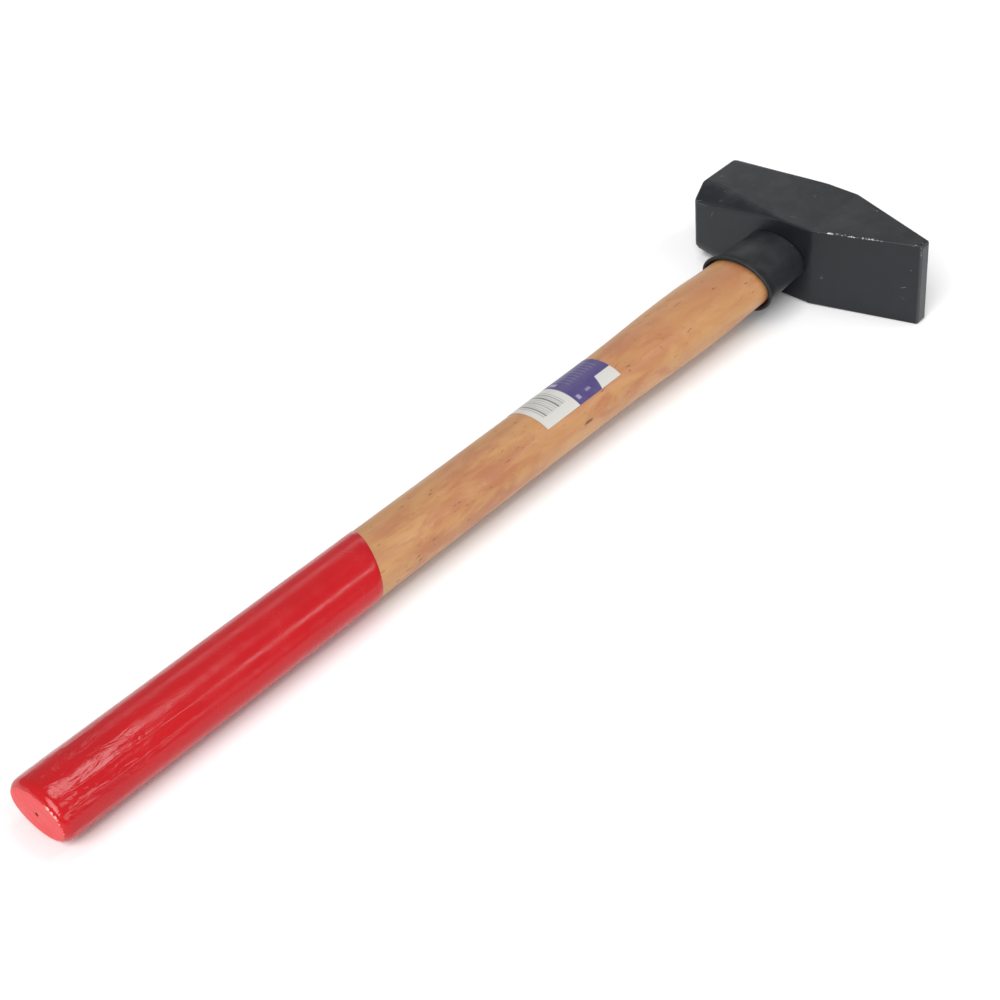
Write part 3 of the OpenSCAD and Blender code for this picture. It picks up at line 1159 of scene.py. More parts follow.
@dataclass(frozen=True)
class Head:
    """The forged head, from its bevelled striking face to its pein."""

    low: Vector
    high: Vector
    eye: EyeShape
    thickness: float = 66 * MM
    shoulder_reach: float = 31 * MM
    pein_tip: float = 9.5 * MM
    bevel: float = 12 * MM
    bevel_run: float = 84 * MM
    soft_run: float = 14 * MM
    face_edge: float = 3.5 * MM
    edge_widest: float = 5.5 * MM
    broad_area: float = 70 * MM * MM
    worn_width: float = 0.4 * MM
    eye_sides: int = 64
    eye_step: float = 5 * MM
    lip: float = 0.9 * MM

    def corner(self, kind: Corner, side: int, cheek: int) -> Vector:
        """Finds a corner of the head before its edges are rounded.

        Args:
            kind: Which kind of corner.
            side: 1 for the crown's side and -1 for the handle's.
            cheek: 1 for the upper cheek and -1 for the lower.

        Returns:
            The corner.
        """
        half_height, half_thick = self.high.x, self.thickness / 2
        mid_z, half_pein = (self.low.z + self.high.z) / 2, (self.high.z - self.low.z) / 2
        if kind in (Corner.CHEEK_SOFT, Corner.SIDE_SOFT):
            at_face = Corner.CHEEK_FACE if kind is Corner.CHEEK_SOFT else Corner.SIDE_FACE
            start, end = self.corner(at_face, side, cheek), self.corner(Corner.RUN_OUT, side, cheek)
            return start.lerp(end, self.soft_run / self.bevel_run)
        x, y, z = {
            Corner.CHEEK_FACE: (half_height - self.bevel, self.high.y, half_thick),
            Corner.SIDE_FACE: (half_height, self.high.y, half_thick - self.bevel),
            Corner.RUN_OUT: (half_height, self.high.y - self.bevel_run, half_thick),
            Corner.SHOULDER: (half_height, -self.shoulder_reach, half_thick),
            Corner.PEIN: (self.pein_tip / 2, self.low.y, half_pein),
        }[kind]
        return Vector((side * x, y, mid_z + cheek * z))

    def edge_width(self, first: Corner, second: Corner, same_cheek: bool) -> float:
        """Finds how wide an edge is rounded.

        Args:
            first: Kind of the edge's one corner.
            second: Kind of its other corner.
            same_cheek: Whether both corners are on one cheek.

        Returns:
            The width, in metres.
        """
        pair = frozenset((first, second))
        at_face = {Corner.CHEEK_FACE, Corner.SIDE_FACE}
        if pair <= at_face:
            return self.face_edge
        if pair & at_face:
            return self.edge_widest
        return MM * {
            frozenset((Corner.CHEEK_SOFT, Corner.SIDE_SOFT)): 0.0,
            frozenset((Corner.CHEEK_SOFT, Corner.RUN_OUT)): 1.3,
            frozenset((Corner.SIDE_SOFT, Corner.RUN_OUT)): 1.3,
            frozenset((Corner.RUN_OUT, Corner.SHOULDER)): 1.5,
            frozenset((Corner.SHOULDER,)): 0.0 if same_cheek else 2.8,
            frozenset((Corner.SHOULDER, Corner.PEIN)): 0.9,
            frozenset((Corner.PEIN,)): 3.0 if same_cheek else 1.2,
        }[pair]

    def faces(self) -> list[list[Place]]:
        """Lists the flat faces of the block.

        Returns:
            Each face as its corners in order: their kind, side and cheek.
        """
        around = ((1, 1), (1, -1), (-1, -1), (-1, 1))
        at_face = (Corner.CHEEK_FACE, Corner.SIDE_FACE)
        cheek_line = (Corner.CHEEK_FACE, Corner.CHEEK_SOFT, Corner.RUN_OUT, Corner.SHOULDER)
        side_line = (Corner.SIDE_FACE, Corner.SIDE_SOFT, Corner.RUN_OUT, Corner.SHOULDER)
        slope = (Corner.SHOULDER, Corner.PEIN)
        bevel_face = (Corner.CHEEK_FACE, Corner.SIDE_FACE, Corner.SIDE_SOFT, Corner.CHEEK_SOFT)
        bevel_rest = (Corner.CHEEK_SOFT, Corner.SIDE_SOFT, Corner.RUN_OUT)
        # Round the striking face, the two kinds swap their order from one corner to the next.
        faces = [[(k, side, cheek) for side, cheek in around for k in at_face[::side * cheek]],
                 [(Corner.PEIN, side, cheek) for side, cheek in around]]
        for a in (1, -1):
            faces.append([(k, 1, a) for k in cheek_line] + [(k, -1, a) for k in reversed(cheek_line)])
            faces.append([(k, a, 1) for k in side_line] + [(k, a, -1) for k in reversed(side_line)])
            faces.append([(k, 1, a) for k in slope] + [(k, -1, a) for k in reversed(slope)])
            faces.append([(k, a, 1) for k in slope] + [(k, a, -1) for k in reversed(slope)])
            for b in (1, -1):
                faces.append([(k, a, b) for k in bevel_face])
                faces.append([(k, a, b) for k in bevel_rest])
        return faces

    def block(self) -> bpy.types.Object:
        """Builds the head with rounded edges and without its eye.

        Returns:
            The block.
        """
        keys = [(kind, side, cheek) for kind in Corner for side in (1, -1) for cheek in (1, -1)]
        number = {key: i for i, key in enumerate(keys)}
        made = MeshKit.make("head_forged", [self.corner(*key) for key in keys],
                            [[number[key] for key in face] for face in self.faces()])
        work = bmesh.new()
        work.from_mesh(made.data)
        weight = work.edges.layers.float.new("bevel_weight_edge")
        work.verts.ensure_lookup_table()
        for edge in work.edges:
            (kind_a, _, cheek_a), (kind_b, _, cheek_b) = (keys[v.index] for v in edge.verts)
            edge[weight] = self.edge_width(kind_a, kind_b, cheek_a == cheek_b) / self.edge_widest
        work.to_mesh(made.data)
        work.free()
        round_off = made.modifiers.new("rounded_edges", "BEVEL")
        round_off.limit_method, round_off.width, round_off.segments = "WEIGHT", self.edge_widest, 3
        round_off.use_clamp_overlap = False
        MeshKit.apply(made)
        return made

    def bore(self, work: bmesh.types.BMesh, side: int) -> list[bmesh.types.BMVert]:
        """Opens the eye's mouth in one long face.

        Args:
            work: The head's mesh.
            side: 1 for the crown's mouth and -1 for the handle's.

        Returns:
            The points of the mouth's edge.
        """
        square_on = 0.99
        facing = [f for f in work.faces if f.normal.x * side > square_on]
        face = max(facing, key=lambda f: f.calc_area())
        rim = list(face.edges)
        bmesh.ops.delete(work, geom=[face], context="FACES_ONLY")
        x = side * self.eye.half_depth
        mouth = self.eye.radius_at(x) + self.lip
        ring = [work.verts.new(p) for p in self.eye.ring(x, mouth, self.eye_sides)]
        edges = [work.edges.new((ring[i], ring[(i + 1) % len(ring)])) for i in range(len(ring))]
        bmesh.ops.triangle_fill(work, edges=rim + edges, use_beauty=True)
        return ring

    def build(self, finish: Finish) -> bpy.types.Object:
        """Builds and dresses the head.

        Args:
            finish: Its lacquer.

        Returns:
            The head.
        """
        made = self.block()
        work = bmesh.new()
        work.from_mesh(made.data)
        edge = work.verts.layers.float.new("edge")
        broad = [f for f in work.faces if f.calc_area() > self.broad_area]
        narrow = set(work.faces) - set(broad)
        for vert in {v for f in narrow for v in f.verts}:
            vert[edge] = 1.0
        old = set(work.verts)
        bmesh.ops.inset_individual(work, faces=broad, thickness=self.worn_width, use_even_offset=True)
        for vert in work.verts:
            if vert not in old:
                vert[edge] = 0.0
        work.normal_update()
        mouths = [self.bore(work, side) for side in (-1, 1)]
        eye, waist = self.eye, self.eye.waist_x
        start, end = -eye.half_depth + self.lip, eye.half_depth - self.lip
        depths = spread(start, waist, self.eye_step) + spread(waist, end, self.eye_step)[1:]
        rings = [mouths[0]]
        for x in depths:
            rings.append([work.verts.new(p) for p in eye.ring(x, eye.radius_at(x), self.eye_sides)])
        rings.append(mouths[1])
        for here, there in zip(rings, rings[1:]):
            for i in range(self.eye_sides):
                j = (i + 1) % self.eye_sides
                work.faces.new((here[i], here[j], there[j], there[i]))
        bmesh.ops.recalc_face_normals(work, faces=work.faces)
        work.to_mesh(made.data)
        work.free()
        MeshKit.smooth(made, sharp_degrees=32.0, weighted=True)
        MeshKit.hand_over(made, finish, "head_lacquer", "head")
        return made


@dataclass(frozen=True)
class GuardCollar:
    """The steel sleeve below the head, with its rim rolled outwards."""

    shape: HandleShape
    rim_x: float
    head_x: float
    gap: float = 0.5 * MM
    wall: float = 2.2 * MM
    flare: float = 1.8 * MM
    roll: float = 9 * MM
    sides: int = 128

    def profile(self) -> list[tuple[float, float, float]]:
        """Draws the outline of the rolled wall.

        Returns:
            Places along the handle, stand-offs and shares of edge wear, in order round the wall.
        """
        sleeve = self.gap + self.wall
        # Millimetres from the rim, millimetres beyond the gap and, for the lip, the share of edge wear.
        throat = ((5.0, 0.15), (3.5, 0.4), (2.2, 0.8), (1.1, 1.25), (0.45, 1.6))
        lip = ((0.1, 2.1, 0.8), (0.0, 2.6, 1.0), (0.0, 3.1, 1.0), (0.2, 3.6, 1.0), (0.7, 3.9, 0.9),
               (1.4, 4.0, 0.6))
        inside = spread(self.rim_x + 8 * MM, self.head_x - 3 * MM, 4 * MM)
        inner = [(self.head_x, self.gap, 0.0)]
        inner += [(x, self.gap, 0.0) for x in reversed(inside)]
        inner += [(self.rim_x + x * MM, self.gap + lift * MM, 0.3) for x, lift in throat]
        edge = [(self.rim_x + x * MM, self.gap + lift * MM, worn) for x, lift, worn in lip]
        body = []
        for x in spread(self.rim_x + 2.2 * MM, self.rim_x + self.roll, 0.9 * MM):
            left = 1 - ease((x - self.rim_x) / self.roll)
            body.append((x, sleeve + self.flare * left, 0.0))
        straight = spread(self.rim_x + self.roll + 2 * MM, self.head_x - 1.2 * MM, 2.5 * MM)
        body += [(x, sleeve, 0.0) for x in straight]
        body += [(self.head_x - 0.4 * MM, sleeve - 0.15 * MM, 0.7),
                 (self.head_x, sleeve - 0.6 * MM, 0.7)]
        return inner + edge + body

    def build(self, finish: Finish) -> bpy.types.Object:
        """Builds and dresses the collar.

        Args:
            finish: Its paint.

        Returns:
            The collar.
        """
        outline = self.profile()
        rings = [self.shape.ring(x, grow, self.sides) for x, grow, _ in outline]
        made = MeshKit.make("collar_rolled", *MeshKit.loft(rings, loop=True))
        MeshKit.number(made, "edge", [wear for _, _, wear in outline for _ in range(self.sides)])
        MeshKit.smooth(made, sharp_degrees=50.0)
        MeshKit.hand_over(made, finish, "collar_paint", "collar")
        return made


@dataclass(frozen=True)
class WedgeSet:
    """The wooden wedge and the two steel ones across it."""

    eye: EyeShape
    end_x: float
    gap: float = 0.1 * MM
    wood_thick: float = 5 * MM
    wood_tip: float = 1.6 * MM
    wood_depth: float = 42 * MM
    steel_thick: float = 4 * MM
    steel_tip: float = 1 * MM
    steel_width: float = 20 * MM
    steel_depth: float = 26 * MM
    steel_round: float = 0.35 * MM
    pitch: float = 19 * MM
    sunk: float = 0.5 * MM
    ring_step: float = 4 * MM
    end_round: float = 0.5 * MM
    end_inset: float = 0.4 * MM
    cutter_reach: float = 30 * MM
    cutter_rise: float = 3 * MM
    sides: int = 72

    def tenon_rings(self, sides: int, start_x: float) -> list[list[Vector]]:
        """Finds the tenon's rings up to its end at the crown.

        Args:
            sides: Points in each ring.
            start_x: Where the first ring lies.

        Returns:
            The rings.
        """
        eye = self.eye
        places = spread(start_x, eye.waist_x, self.ring_step)
        places += spread(eye.waist_x, eye.half_depth, self.ring_step)[1:]
        rings = [eye.ring(x, eye.radius_at(x) - self.gap, sides) for x in places]
        mouth = eye.radius_at(eye.half_depth) - self.gap
        rings.append(eye.ring(self.end_x - self.end_round, mouth, sides))
        rings.append(eye.ring(self.end_x, mouth - self.end_inset, sides))
        return rings

    def prism(self, name: str, outline: Profile, half: float, centre: float = 0.0,
              upright: bool = False) -> bpy.types.Object:
        """Extrudes an outline to both sides of the handle's axis.

        Args:
            name: Name of the object.
            outline: Points as places along the handle and distances across it.
            half: Half the extrusion.
            centre: Where the outline's middle lies across the handle.
            upright: Whether the outline is drawn along z and extruded along y, not the other way.

        Returns:
            The prism.
        """
        axis_z = self.eye.axis_z
        rings = []
        for end in (-half, half):
            if upright:
                rings.append([Vector((x, end, axis_z + w)) for x, w in outline])
            else:
                rings.append([Vector((x, centre + w, axis_z + end)) for x, w in outline])
        return MeshKit.make(name, *MeshKit.loft(rings))

    def outline(self, top_x: float, depth: float, thick: float, tip: float, above: float) -> Profile:
        """Draws a wedge from the side.

        Args:
            top_x: Where its thick end lies.
            depth: How far it reaches into the tenon.
            thick: Thickness of the thick end.
            tip: Thickness of the other end.
            above: Length of a straight stretch above the thick end.

        Returns:
            The outline.
        """
        half, low = thick / 2, tip / 2
        top = [(top_x + above, -half), (top_x + above, half)] if above else []
        return top + [(top_x, half), (top_x - depth, low), (top_x - depth, -low), (top_x, -half)]

    def wood_cutter(self, above: float) -> bpy.types.Object:
        """Builds the wooden wedge's prism, with a straight stretch of that length above it."""
        shape = self.outline(self.end_x, self.wood_depth, self.wood_thick, self.wood_tip, above)
        return self.prism("wood_cutter", shape, self.cutter_reach, upright=True)

    def steel_prism(self, name: str, side: int, above: float) -> bpy.types.Object:
        """Builds the prism of one steel wedge.

        Args:
            name: Name of the object.
            side: 1 for the wedge nearer the striking face and -1 for the other.
            above: Length of a straight stretch above its thick end.

        Returns:
            The prism.
        """
        top_x = self.end_x - self.sunk
        shape = self.outline(top_x, self.steel_depth, self.steel_thick, self.steel_tip, above)
        return self.prism(name, shape, self.steel_width / 2, side * self.pitch / 2)

    def steel_cutter(self, side: int) -> bpy.types.Object:
        """Returns the slot of one steel wedge, open at the crown."""
        return self.steel_prism("steel_cutter", side, self.cutter_rise)

    def build(self, wood: Finish, steel: Finish) -> list[bpy.types.Object]:
        """Builds and dresses the three wedges.

        Args:
            wood: Finish of the wooden wedge.
            steel: Finish of the steel wedges.

        Returns:
            The wedges.
        """
        rings = self.tenon_rings(self.sides, -self.eye.half_depth)
        wooden = MeshKit.make("wooden_wedge_driven", *MeshKit.loft(rings))
        MeshKit.carve(wooden, self.wood_cutter(0.0), "INTERSECT")
        for side in (1, -1):
            MeshKit.carve(wooden, self.steel_cutter(side))
        MeshKit.smooth(wooden, sharp_degrees=25.0)
        MeshKit.hand_over(wooden, wood, "wedge_wood", "wooden_wedge")
        made = [wooden]
        for side, node in ((1, "steel_wedge_front"), (-1, "steel_wedge_rear")):
            piece = self.steel_prism(node + "_driven", side, 0.0)
            round_off = piece.modifiers.new("soft_edges", "BEVEL")
            round_off.width, round_off.segments = self.steel_round, 3
            MeshKit.apply(piece)
            MeshKit.smooth(piece, sharp_degrees=30.0, weighted=True)
            MeshKit.hand_over(piece, steel, "wedge_steel", node)
            made.append(piece)
        return made


@dataclass(frozen=True)
class Handle:
    """The oval handle with its tenon, slotted for the wedges."""

    shape: HandleShape
    wedges: WedgeSet
    sides: int = 120
    ring_step: float = 3.5 * MM
    corner_steps: int = 6

    def bore_ring(self, x: float) -> list[Vector]:
        """Finds points round the hole that the lathe's centre left in the butt.

        Args:
            x: Place along the handle.

        Returns:
            The points.
        """
        turns = [2 * math.pi * i / self.sides for i in range(self.sides)]
        radius, axis_z = self.shape.bore_radius, self.shape.axis_z
        return [Vector((x, radius * math.cos(t), axis_z + radius * math.sin(t))) for t in turns]

    def build(self, finish: Finish) -> bpy.types.Object:
        """Builds and dresses the handle.

        Args:
            finish: Its lacquered wood.

        Returns:
            The handle.
        """
        shape, butt = self.shape, self.shape.butt_x
        turns = [math.pi / 2 * i / self.corner_steps for i in range(self.corner_steps)]
        places = [butt + shape.butt_round * (1 - math.cos(t)) for t in turns]
        places += spread(butt + shape.butt_round, shape.stations[-1].x, self.ring_step)
        rings = [self.bore_ring(butt + shape.bore_depth), self.bore_ring(butt)]
        rings += [shape.ring(x, 0.0, self.sides) for x in places]
        rings += self.wedges.tenon_rings(self.sides, shape.stations[-1].x)
        made = MeshKit.make("handle_shaft", *MeshKit.loft(rings))
        MeshKit.carve(made, self.wedges.wood_cutter(self.wedges.cutter_rise))
        for side in (1, -1):
            MeshKit.carve(made, self.wedges.steel_cutter(side))
        MeshKit.smooth(made, sharp_degrees=40.0)
        MeshKit.hand_over(made, finish, "handle_wood", "handle")
        return made


@dataclass(frozen=True)
class Run:
    """A run of paint: its angle at the butt, its slant, where it fades out and its size."""

    angle: float
    slant: float
    length: float
    height: float
    half_width: float


@dataclass(frozen=True)
class GripCoat:
    """The dipped coat over the butt, with runs and a leaning edge."""

    shape: HandleShape
    length: float = 276.5 * MM
    skin: float = 0.12 * MM
    thick: float = 0.4 * MM
    lean_width: float = 0.38
    lean_thickness: float = 0.14
    sides: int = 168
    corner_steps: int = 7
    dimple: float = 0.28 * MM
    near_reach: float = 150 * MM
    near_step: float = 2.1 * MM
    far_step: float = 4.5 * MM
    runs_start: float = 2 * MM
    runs_rise: float = 6 * MM
    wobble: float = 0.035
    wave_height: float = 0.10 * MM
    wave_fade: float = 90 * MM
    wave_left: float = 0.35
    thinnest: float = 0.15 * MM
    taper_run: float = 0.25 * MM
    taper_start: float = 0.02 * MM
    taper_end: float = 0.18 * MM
    runs: tuple[Run, ...] = ()

    def edge_x(self, angle: float) -> float:
        """Finds where the coat ends, which leans.

        Args:
            angle: Angle about the handle.

        Returns:
            The place along the handle.
        """
        butt = self.shape.stations[0]
        lean = (self.lean_width * butt.half_width * math.cos(angle)
                + self.lean_thickness * butt.half_thickness * math.sin(angle))
        return self.shape.butt_x + self.length + lean

    def relief(self, x: float, angle: float) -> float:
        """Finds how far the runs and waves stand off the coat.

        Args:
            x: Place along the handle.
            angle: Angle about it.

        Returns:
            The height, below 0 where the coat is thinner.
        """
        back = x - self.shape.butt_x
        start = min(1.0, max(0.0, (back - self.runs_start) / self.runs_rise))
        lift = 0.0
        for run in self.runs:
            if back > run.length:
                continue
            wobble = self.wobble * noise.noise(Vector((back * 60, run.angle * 7, 0.3)))
            middle = run.angle + run.slant * back + wobble
            gap = (angle - middle + math.pi) % (2 * math.pi) - math.pi
            fade = 1 - ease(max(0.0, back / run.length))
            lift += run.height * fade * math.exp(-(gap / run.half_width) ** 2)
        wave = noise.noise(Vector((back * 22, math.cos(angle) * 2.2, math.sin(angle) * 2.2)))
        near = math.exp(-back / self.wave_fade)
        lift += self.wave_height * wave * (self.wave_left + near)
        return start * max(-self.thinnest, lift)

    def places(self, edge: float) -> list[float]:
        """Spaces rings along the coat, closer near the butt.

        Args:
            edge: Where the coat ends.

        Returns:
            Shares of the way from the butt's rounding to that edge.
        """
        way = edge - self.shape.butt_x - self.shape.butt_round
        near = spread(0.0, self.near_reach / way, self.near_step / way)
        far = spread(near[-1], 1.0, self.far_step / way)
        return near + far[1:]

    def column(self, angle: float, shares: Sequence[float]) -> list[tuple[Vector, float]]:
        """Builds the coat's outline at one angle.

        Args:
            angle: The angle.
            shares: Where rings lie between the butt's rounding and the edge.

        Returns:
            Points in order round the wall, each with its share of edge wear.
        """
        shape = self.shape
        start, edge = shape.butt_x + shape.butt_round, self.edge_x(angle)
        outer = self.skin + self.thick
        turns = [math.pi / 2 * i / self.corner_steps for i in range(self.corner_steps + 1)]
        corner = [shape.butt_x + shape.butt_round * (1 - math.cos(t)) for t in turns]
        centre = Vector((0.0, 0.0, shape.axis_z))
        toward = Vector((0.0, math.cos(angle), math.sin(angle)))
        mouth = centre + toward * shape.bore_radius
        face_shares = (0.0, 0.03, 0.12, 0.3, 0.55, 0.8, 0.93)
        corner_wear = {0: 0.6, 1: 1.0, 2: 1.0, 3: 0.6}
        out: list[tuple[Vector, float]] = []
        for grow, lift in ((self.skin, 0.0), (outer, 1.0)):
            line: list[tuple[Vector, float]] = []
            rim = shape.point(shape.butt_x, angle, grow)
            for share in face_shares:
                place = mouth.lerp(Vector((0.0, rim.y, rim.z)), share)
                dip = (self.dimple if share == 0.0 else 0.0) * lift
                line.append((Vector((shape.butt_x - grow + dip, place.y, place.z)), 0.0))
            for i, x in enumerate(corner):
                back = grow * (1 - math.sin(turns[i]))
                point = shape.point(x, angle, grow)
                line.append((Vector((x - back, point.y, point.z)), lift * corner_wear.get(i, 0.0)))
            for share in shares[1:]:
                x = start + (edge - start) * share
                line.append((shape.point(x, angle, grow + self.relief(x, angle) * lift), 0.0))
            if lift:
                before_edge = edge - self.taper_run
                line[-1] = (shape.point(before_edge, angle, outer - self.taper_start), 0.0)
                line.append((shape.point(edge, angle, outer - self.taper_end), 0.0))
                line.reverse()
            out += line
        return out

    def build(self, finish: Finish) -> bpy.types.Object:
        """Builds and dresses the coat.

        Args:
            finish: Its red dip.

        Returns:
            The coat.
        """
        shares = self.places(self.edge_x(math.pi / 2))
        columns = [self.column(2 * math.pi * i / self.sides, shares) for i in range(self.sides)]
        rings = [[p for p, _ in column] for column in columns]
        made = MeshKit.make("grip_dip", *MeshKit.loft(rings, loop=True))
        MeshKit.number(made, "edge", [wear for column in columns for _, wear in column])
        MeshKit.smooth(made, sharp_degrees=55.0)
        MeshKit.hand_over(made, finish, "grip_paint", "grip_coat")
        return made


@dataclass(frozen=True)
class PaperLabel:
    """The paper sticker wrapped over the handle."""

    shape: HandleShape
    start_x: float
    end_x: float
    width: float = 50 * MM
    edge_angle: float = math.radians(128)
    skin: float = 0.12 * MM
    thick: float = 0.2 * MM
    columns: int = 54
    rows: int = 40

    def build(self, finish: Finish) -> bpy.types.Object:
        """Builds and dresses the label.

        Args:
            finish: Its printed paper.

        Returns:
            The label.
        """
        points: list[Vector] = []
        shares: list[tuple[float, float]] = []
        for layer in (self.skin, self.skin + self.thick):
            for i in range(self.columns + 1):
                along = i / self.columns
                x = self.start_x + (self.end_x - self.start_x) * along
                span = self.width / (sum(self.shape.half_sizes(x)) / 2)
                for j in range(self.rows + 1):
                    across = j / self.rows
                    points.append(self.shape.point(x, self.edge_angle - span * (1 - across), layer))
                    shares.append((along, across))
        row, layer_size = self.rows + 1, (self.columns + 1) * (self.rows + 1)
        faces = []
        for i in range(self.columns):
            for j in range(self.rows):
                a, b, c, d = i * row + j, i * row + j + 1, (i + 1) * row + j + 1, (i + 1) * row + j
                faces += [[a, b, c, d], [layer_size + k for k in (d, c, b, a)]]
        border = [i * row for i in range(self.columns + 1)]
        border += [self.columns * row + j for j in range(1, row)]
        border += [i * row + self.rows for i in reversed(range(self.columns))]
        border += list(reversed(range(1, self.rows)))
        for a, b in zip(border, border[1:] + border[:1]):
            faces.append([a, b, layer_size + b, layer_size + a])
        made = MeshKit.make("label_sticker", points, faces)
        MeshKit.number(made, "label_along", [a for a, _ in shares])
        MeshKit.number(made, "label_across", [b for _, b in shares])
        MeshKit.smooth(made, sharp_degrees=50.0)
        MeshKit.hand_over(made, finish, "label_paper", "label")
        return made


# ---------------------------------------------------------------------------------------------------
# Studio
# ---------------------------------------------------------------------------------------------------


class LightRun(Enum):
    """Which way a softbox's long side runs."""

    ALONG_HANDLE = (1.0, 0.0, 0.0)
    ACROSS_HANDLE = (0.0, 1.0, 0.0)


@dataclass(frozen=True)
class Softbox:
    """A soft light: its direction from the hammer, its distance, size, brightness, run and tint."""

    name: str
    azimuth: float
    elevation: float
    distance: float
    width: float
    height: float
    radiance: float
    run: LightRun = LightRun.ALONG_HANDLE
    tint: Colour = (1.0, 1.0, 1.0)


@dataclass(frozen=True)
class SoftSun:
    """The even main light: its direction, brightness and how wide it looks, in degrees."""

    azimuth: float
    elevation: float
    strength: float
    spread: float


def heading(azimuth: float, elevation: float) -> Vector:
    """Returns the direction at an azimuth from +X and an elevation, both in degrees."""
    turn, rise = math.radians(azimuth), math.radians(elevation)
    return Vector((math.cos(turn) * math.cos(rise), math.sin(turn) * math.cos(rise), math.sin(rise)))


@dataclass(frozen=True)
class Studio:
    """The pale floor, the soft lights and the camera."""

    rest_points: tuple[Vector, Vector, Vector]
    aim: Vector
    softboxes: tuple[Softbox, ...]
    sun: SoftSun = SoftSun(200.0, 48.0, 2.5, 42.0)
    surround: float = 0.35
    floor_half: float = 7.0
    floor_cells: int = 12
    floor_gap: float = 0.02 * MM
    lens: float = 79.48
    sensor: float = 36.0
    camera_at: Vector = field(default_factory=lambda: Vector((-1.1980, -0.8391, 0.9735)))
    camera_right: Vector = field(default_factory=lambda: Vector((0.6614, -0.7467, -0.0706)))
    camera_up: Vector = field(default_factory=lambda: Vector((0.5107, 0.3795, 0.7715)))

    def floor(self, finish: Finish) -> None:
        """Lays the floor under the three points that the hammer rests on.

        Args:
            finish: The floor's finish.
        """
        first, second, third = self.rest_points
        up = (second - first).cross(third - first).normalized()
        up = up if up.z > 0 else -up
        side = Vector((0.0, 1.0, 0.0)).cross(up).normalized()
        ahead = up.cross(side)
        middle = sum(self.rest_points, Vector()) / 3
        middle += up * (up.dot(first - middle) - self.floor_gap)
        count, row = self.floor_cells, self.floor_cells + 1
        steps = [self.floor_half * (2 * i / count - 1) for i in range(row)]
        points = [middle + side * aside + ahead * forward for aside in steps for forward in steps]
        faces = [[i * row + j, i * row + j + 1, (i + 1) * row + j + 1, (i + 1) * row + j]
                 for i in range(count) for j in range(count)]
        mesh = bpy.data.meshes.new("floor")
        mesh.from_pydata([tuple(p) for p in points], [], faces)
        mesh.materials.append(finish.material())
        made = bpy.data.objects.new("floor", mesh)
        bpy.context.scene.collection.objects.link(made)
        made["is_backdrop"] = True

    def lights(self) -> None:
        """Hangs the softboxes."""
        for box in self.softboxes:
            toward = heading(box.azimuth, box.elevation)
            data = bpy.data.lights.new(box.name, "AREA")
            data.shape, data.size, data.size_y = "RECTANGLE", box.width, box.height
            data.energy = box.radiance * math.pi * box.width * box.height
            data.color = box.tint
            lamp = bpy.data.objects.new(box.name, data)
            lamp.location = self.aim + toward * box.distance
            side = Vector(box.run.value)
            side = (side - toward * side.dot(toward)).normalized()
            lamp.rotation_mode = "QUATERNION"
            turned = Matrix((side, toward.cross(side), toward)).transposed()
            lamp.rotation_quaternion = turned.to_quaternion()
            bpy.context.scene.collection.objects.link(lamp)

    def even_light(self) -> None:
        """Hangs the wide and distant main light."""
        data = bpy.data.lights.new("even", "SUN")
        data.energy, data.angle = self.sun.strength, math.radians(self.sun.spread)
        lamp = bpy.data.objects.new("even", data)
        lamp.rotation_mode = "QUATERNION"
        lamp.rotation_quaternion = heading(self.sun.azimuth, self.sun.elevation).to_track_quat("Z", "Y")
        bpy.context.scene.collection.objects.link(lamp)

    def backdrop(self) -> None:
        """Surrounds the scene with a pale grey that looks white behind the floor."""
        world = bpy.data.worlds.new("surround")
        world.use_nodes = True
        graph = Graph(world.node_tree)
        seen = graph.node("ShaderNodeLightPath").outputs["Is Camera Ray"]
        shade = world.node_tree.nodes["Background"]
        shade.inputs["Color"].default_value = (1.0, 1.0, 1.0, 1.0)
        graph.feed(shade.inputs["Strength"], graph.remap(seen, 0.0, 1.0, self.surround, 1.0))
        bpy.context.scene.world = world

    def camera(self) -> None:
        """Sets up the camera."""
        data = bpy.data.cameras.new("view")
        data.lens, data.sensor_width, data.sensor_fit = self.lens, self.sensor, "HORIZONTAL"
        data.clip_start, data.clip_end = 0.05, 50.0
        right = self.camera_right.normalized()
        up = (self.camera_up - right * self.camera_up.dot(right)).normalized()
        back = right.cross(up)
        made = bpy.data.objects.new("view", data)
        turned = Matrix((right, up, back)).transposed().to_4x4()
        made.matrix_world = Matrix.Translation(self.camera_at) @ turned
        bpy.context.scene.collection.objects.link(made)
        bpy.context.scene.camera = made

    def build(self, finish: Finish) -> None:
        """Builds the whole studio.

        Args:
            finish: The floor's finish.
        """
        self.floor(finish)
        self.lights()
        self.even_light()
        self.backdrop()
        self.camera()
        bpy.context.scene.view_settings.view_transform = "Standard"


# ---------------------------------------------------------------------------------------------------
# The hammer
# ---------------------------------------------------------------------------------------------------


def paint_runs() -> tuple[Run, ...]:
    """Draws the runs of paint near the butt: two long ones on top and smaller ones around.

    Returns:
        The runs.
    """
    draw = random.Random(SEED)
    runs = [
        Run(math.radians(125), math.radians(60), 170 * MM, 0.62 * MM, math.radians(3.4)),
        Run(math.radians(147), math.radians(35), 150 * MM, 0.55 * MM, math.radians(3.2)),
    ]
    for i in range(9):
        angle = math.radians(180 + i * 27 + draw.uniform(-9, 9))
        runs.append(Run(angle, math.radians(draw.uniform(-50, 50)), draw.uniform(50, 130) * MM,
                        draw.uniform(0.15, 0.32) * MM, math.radians(draw.uniform(3.5, 6.0))))
    return tuple(runs)


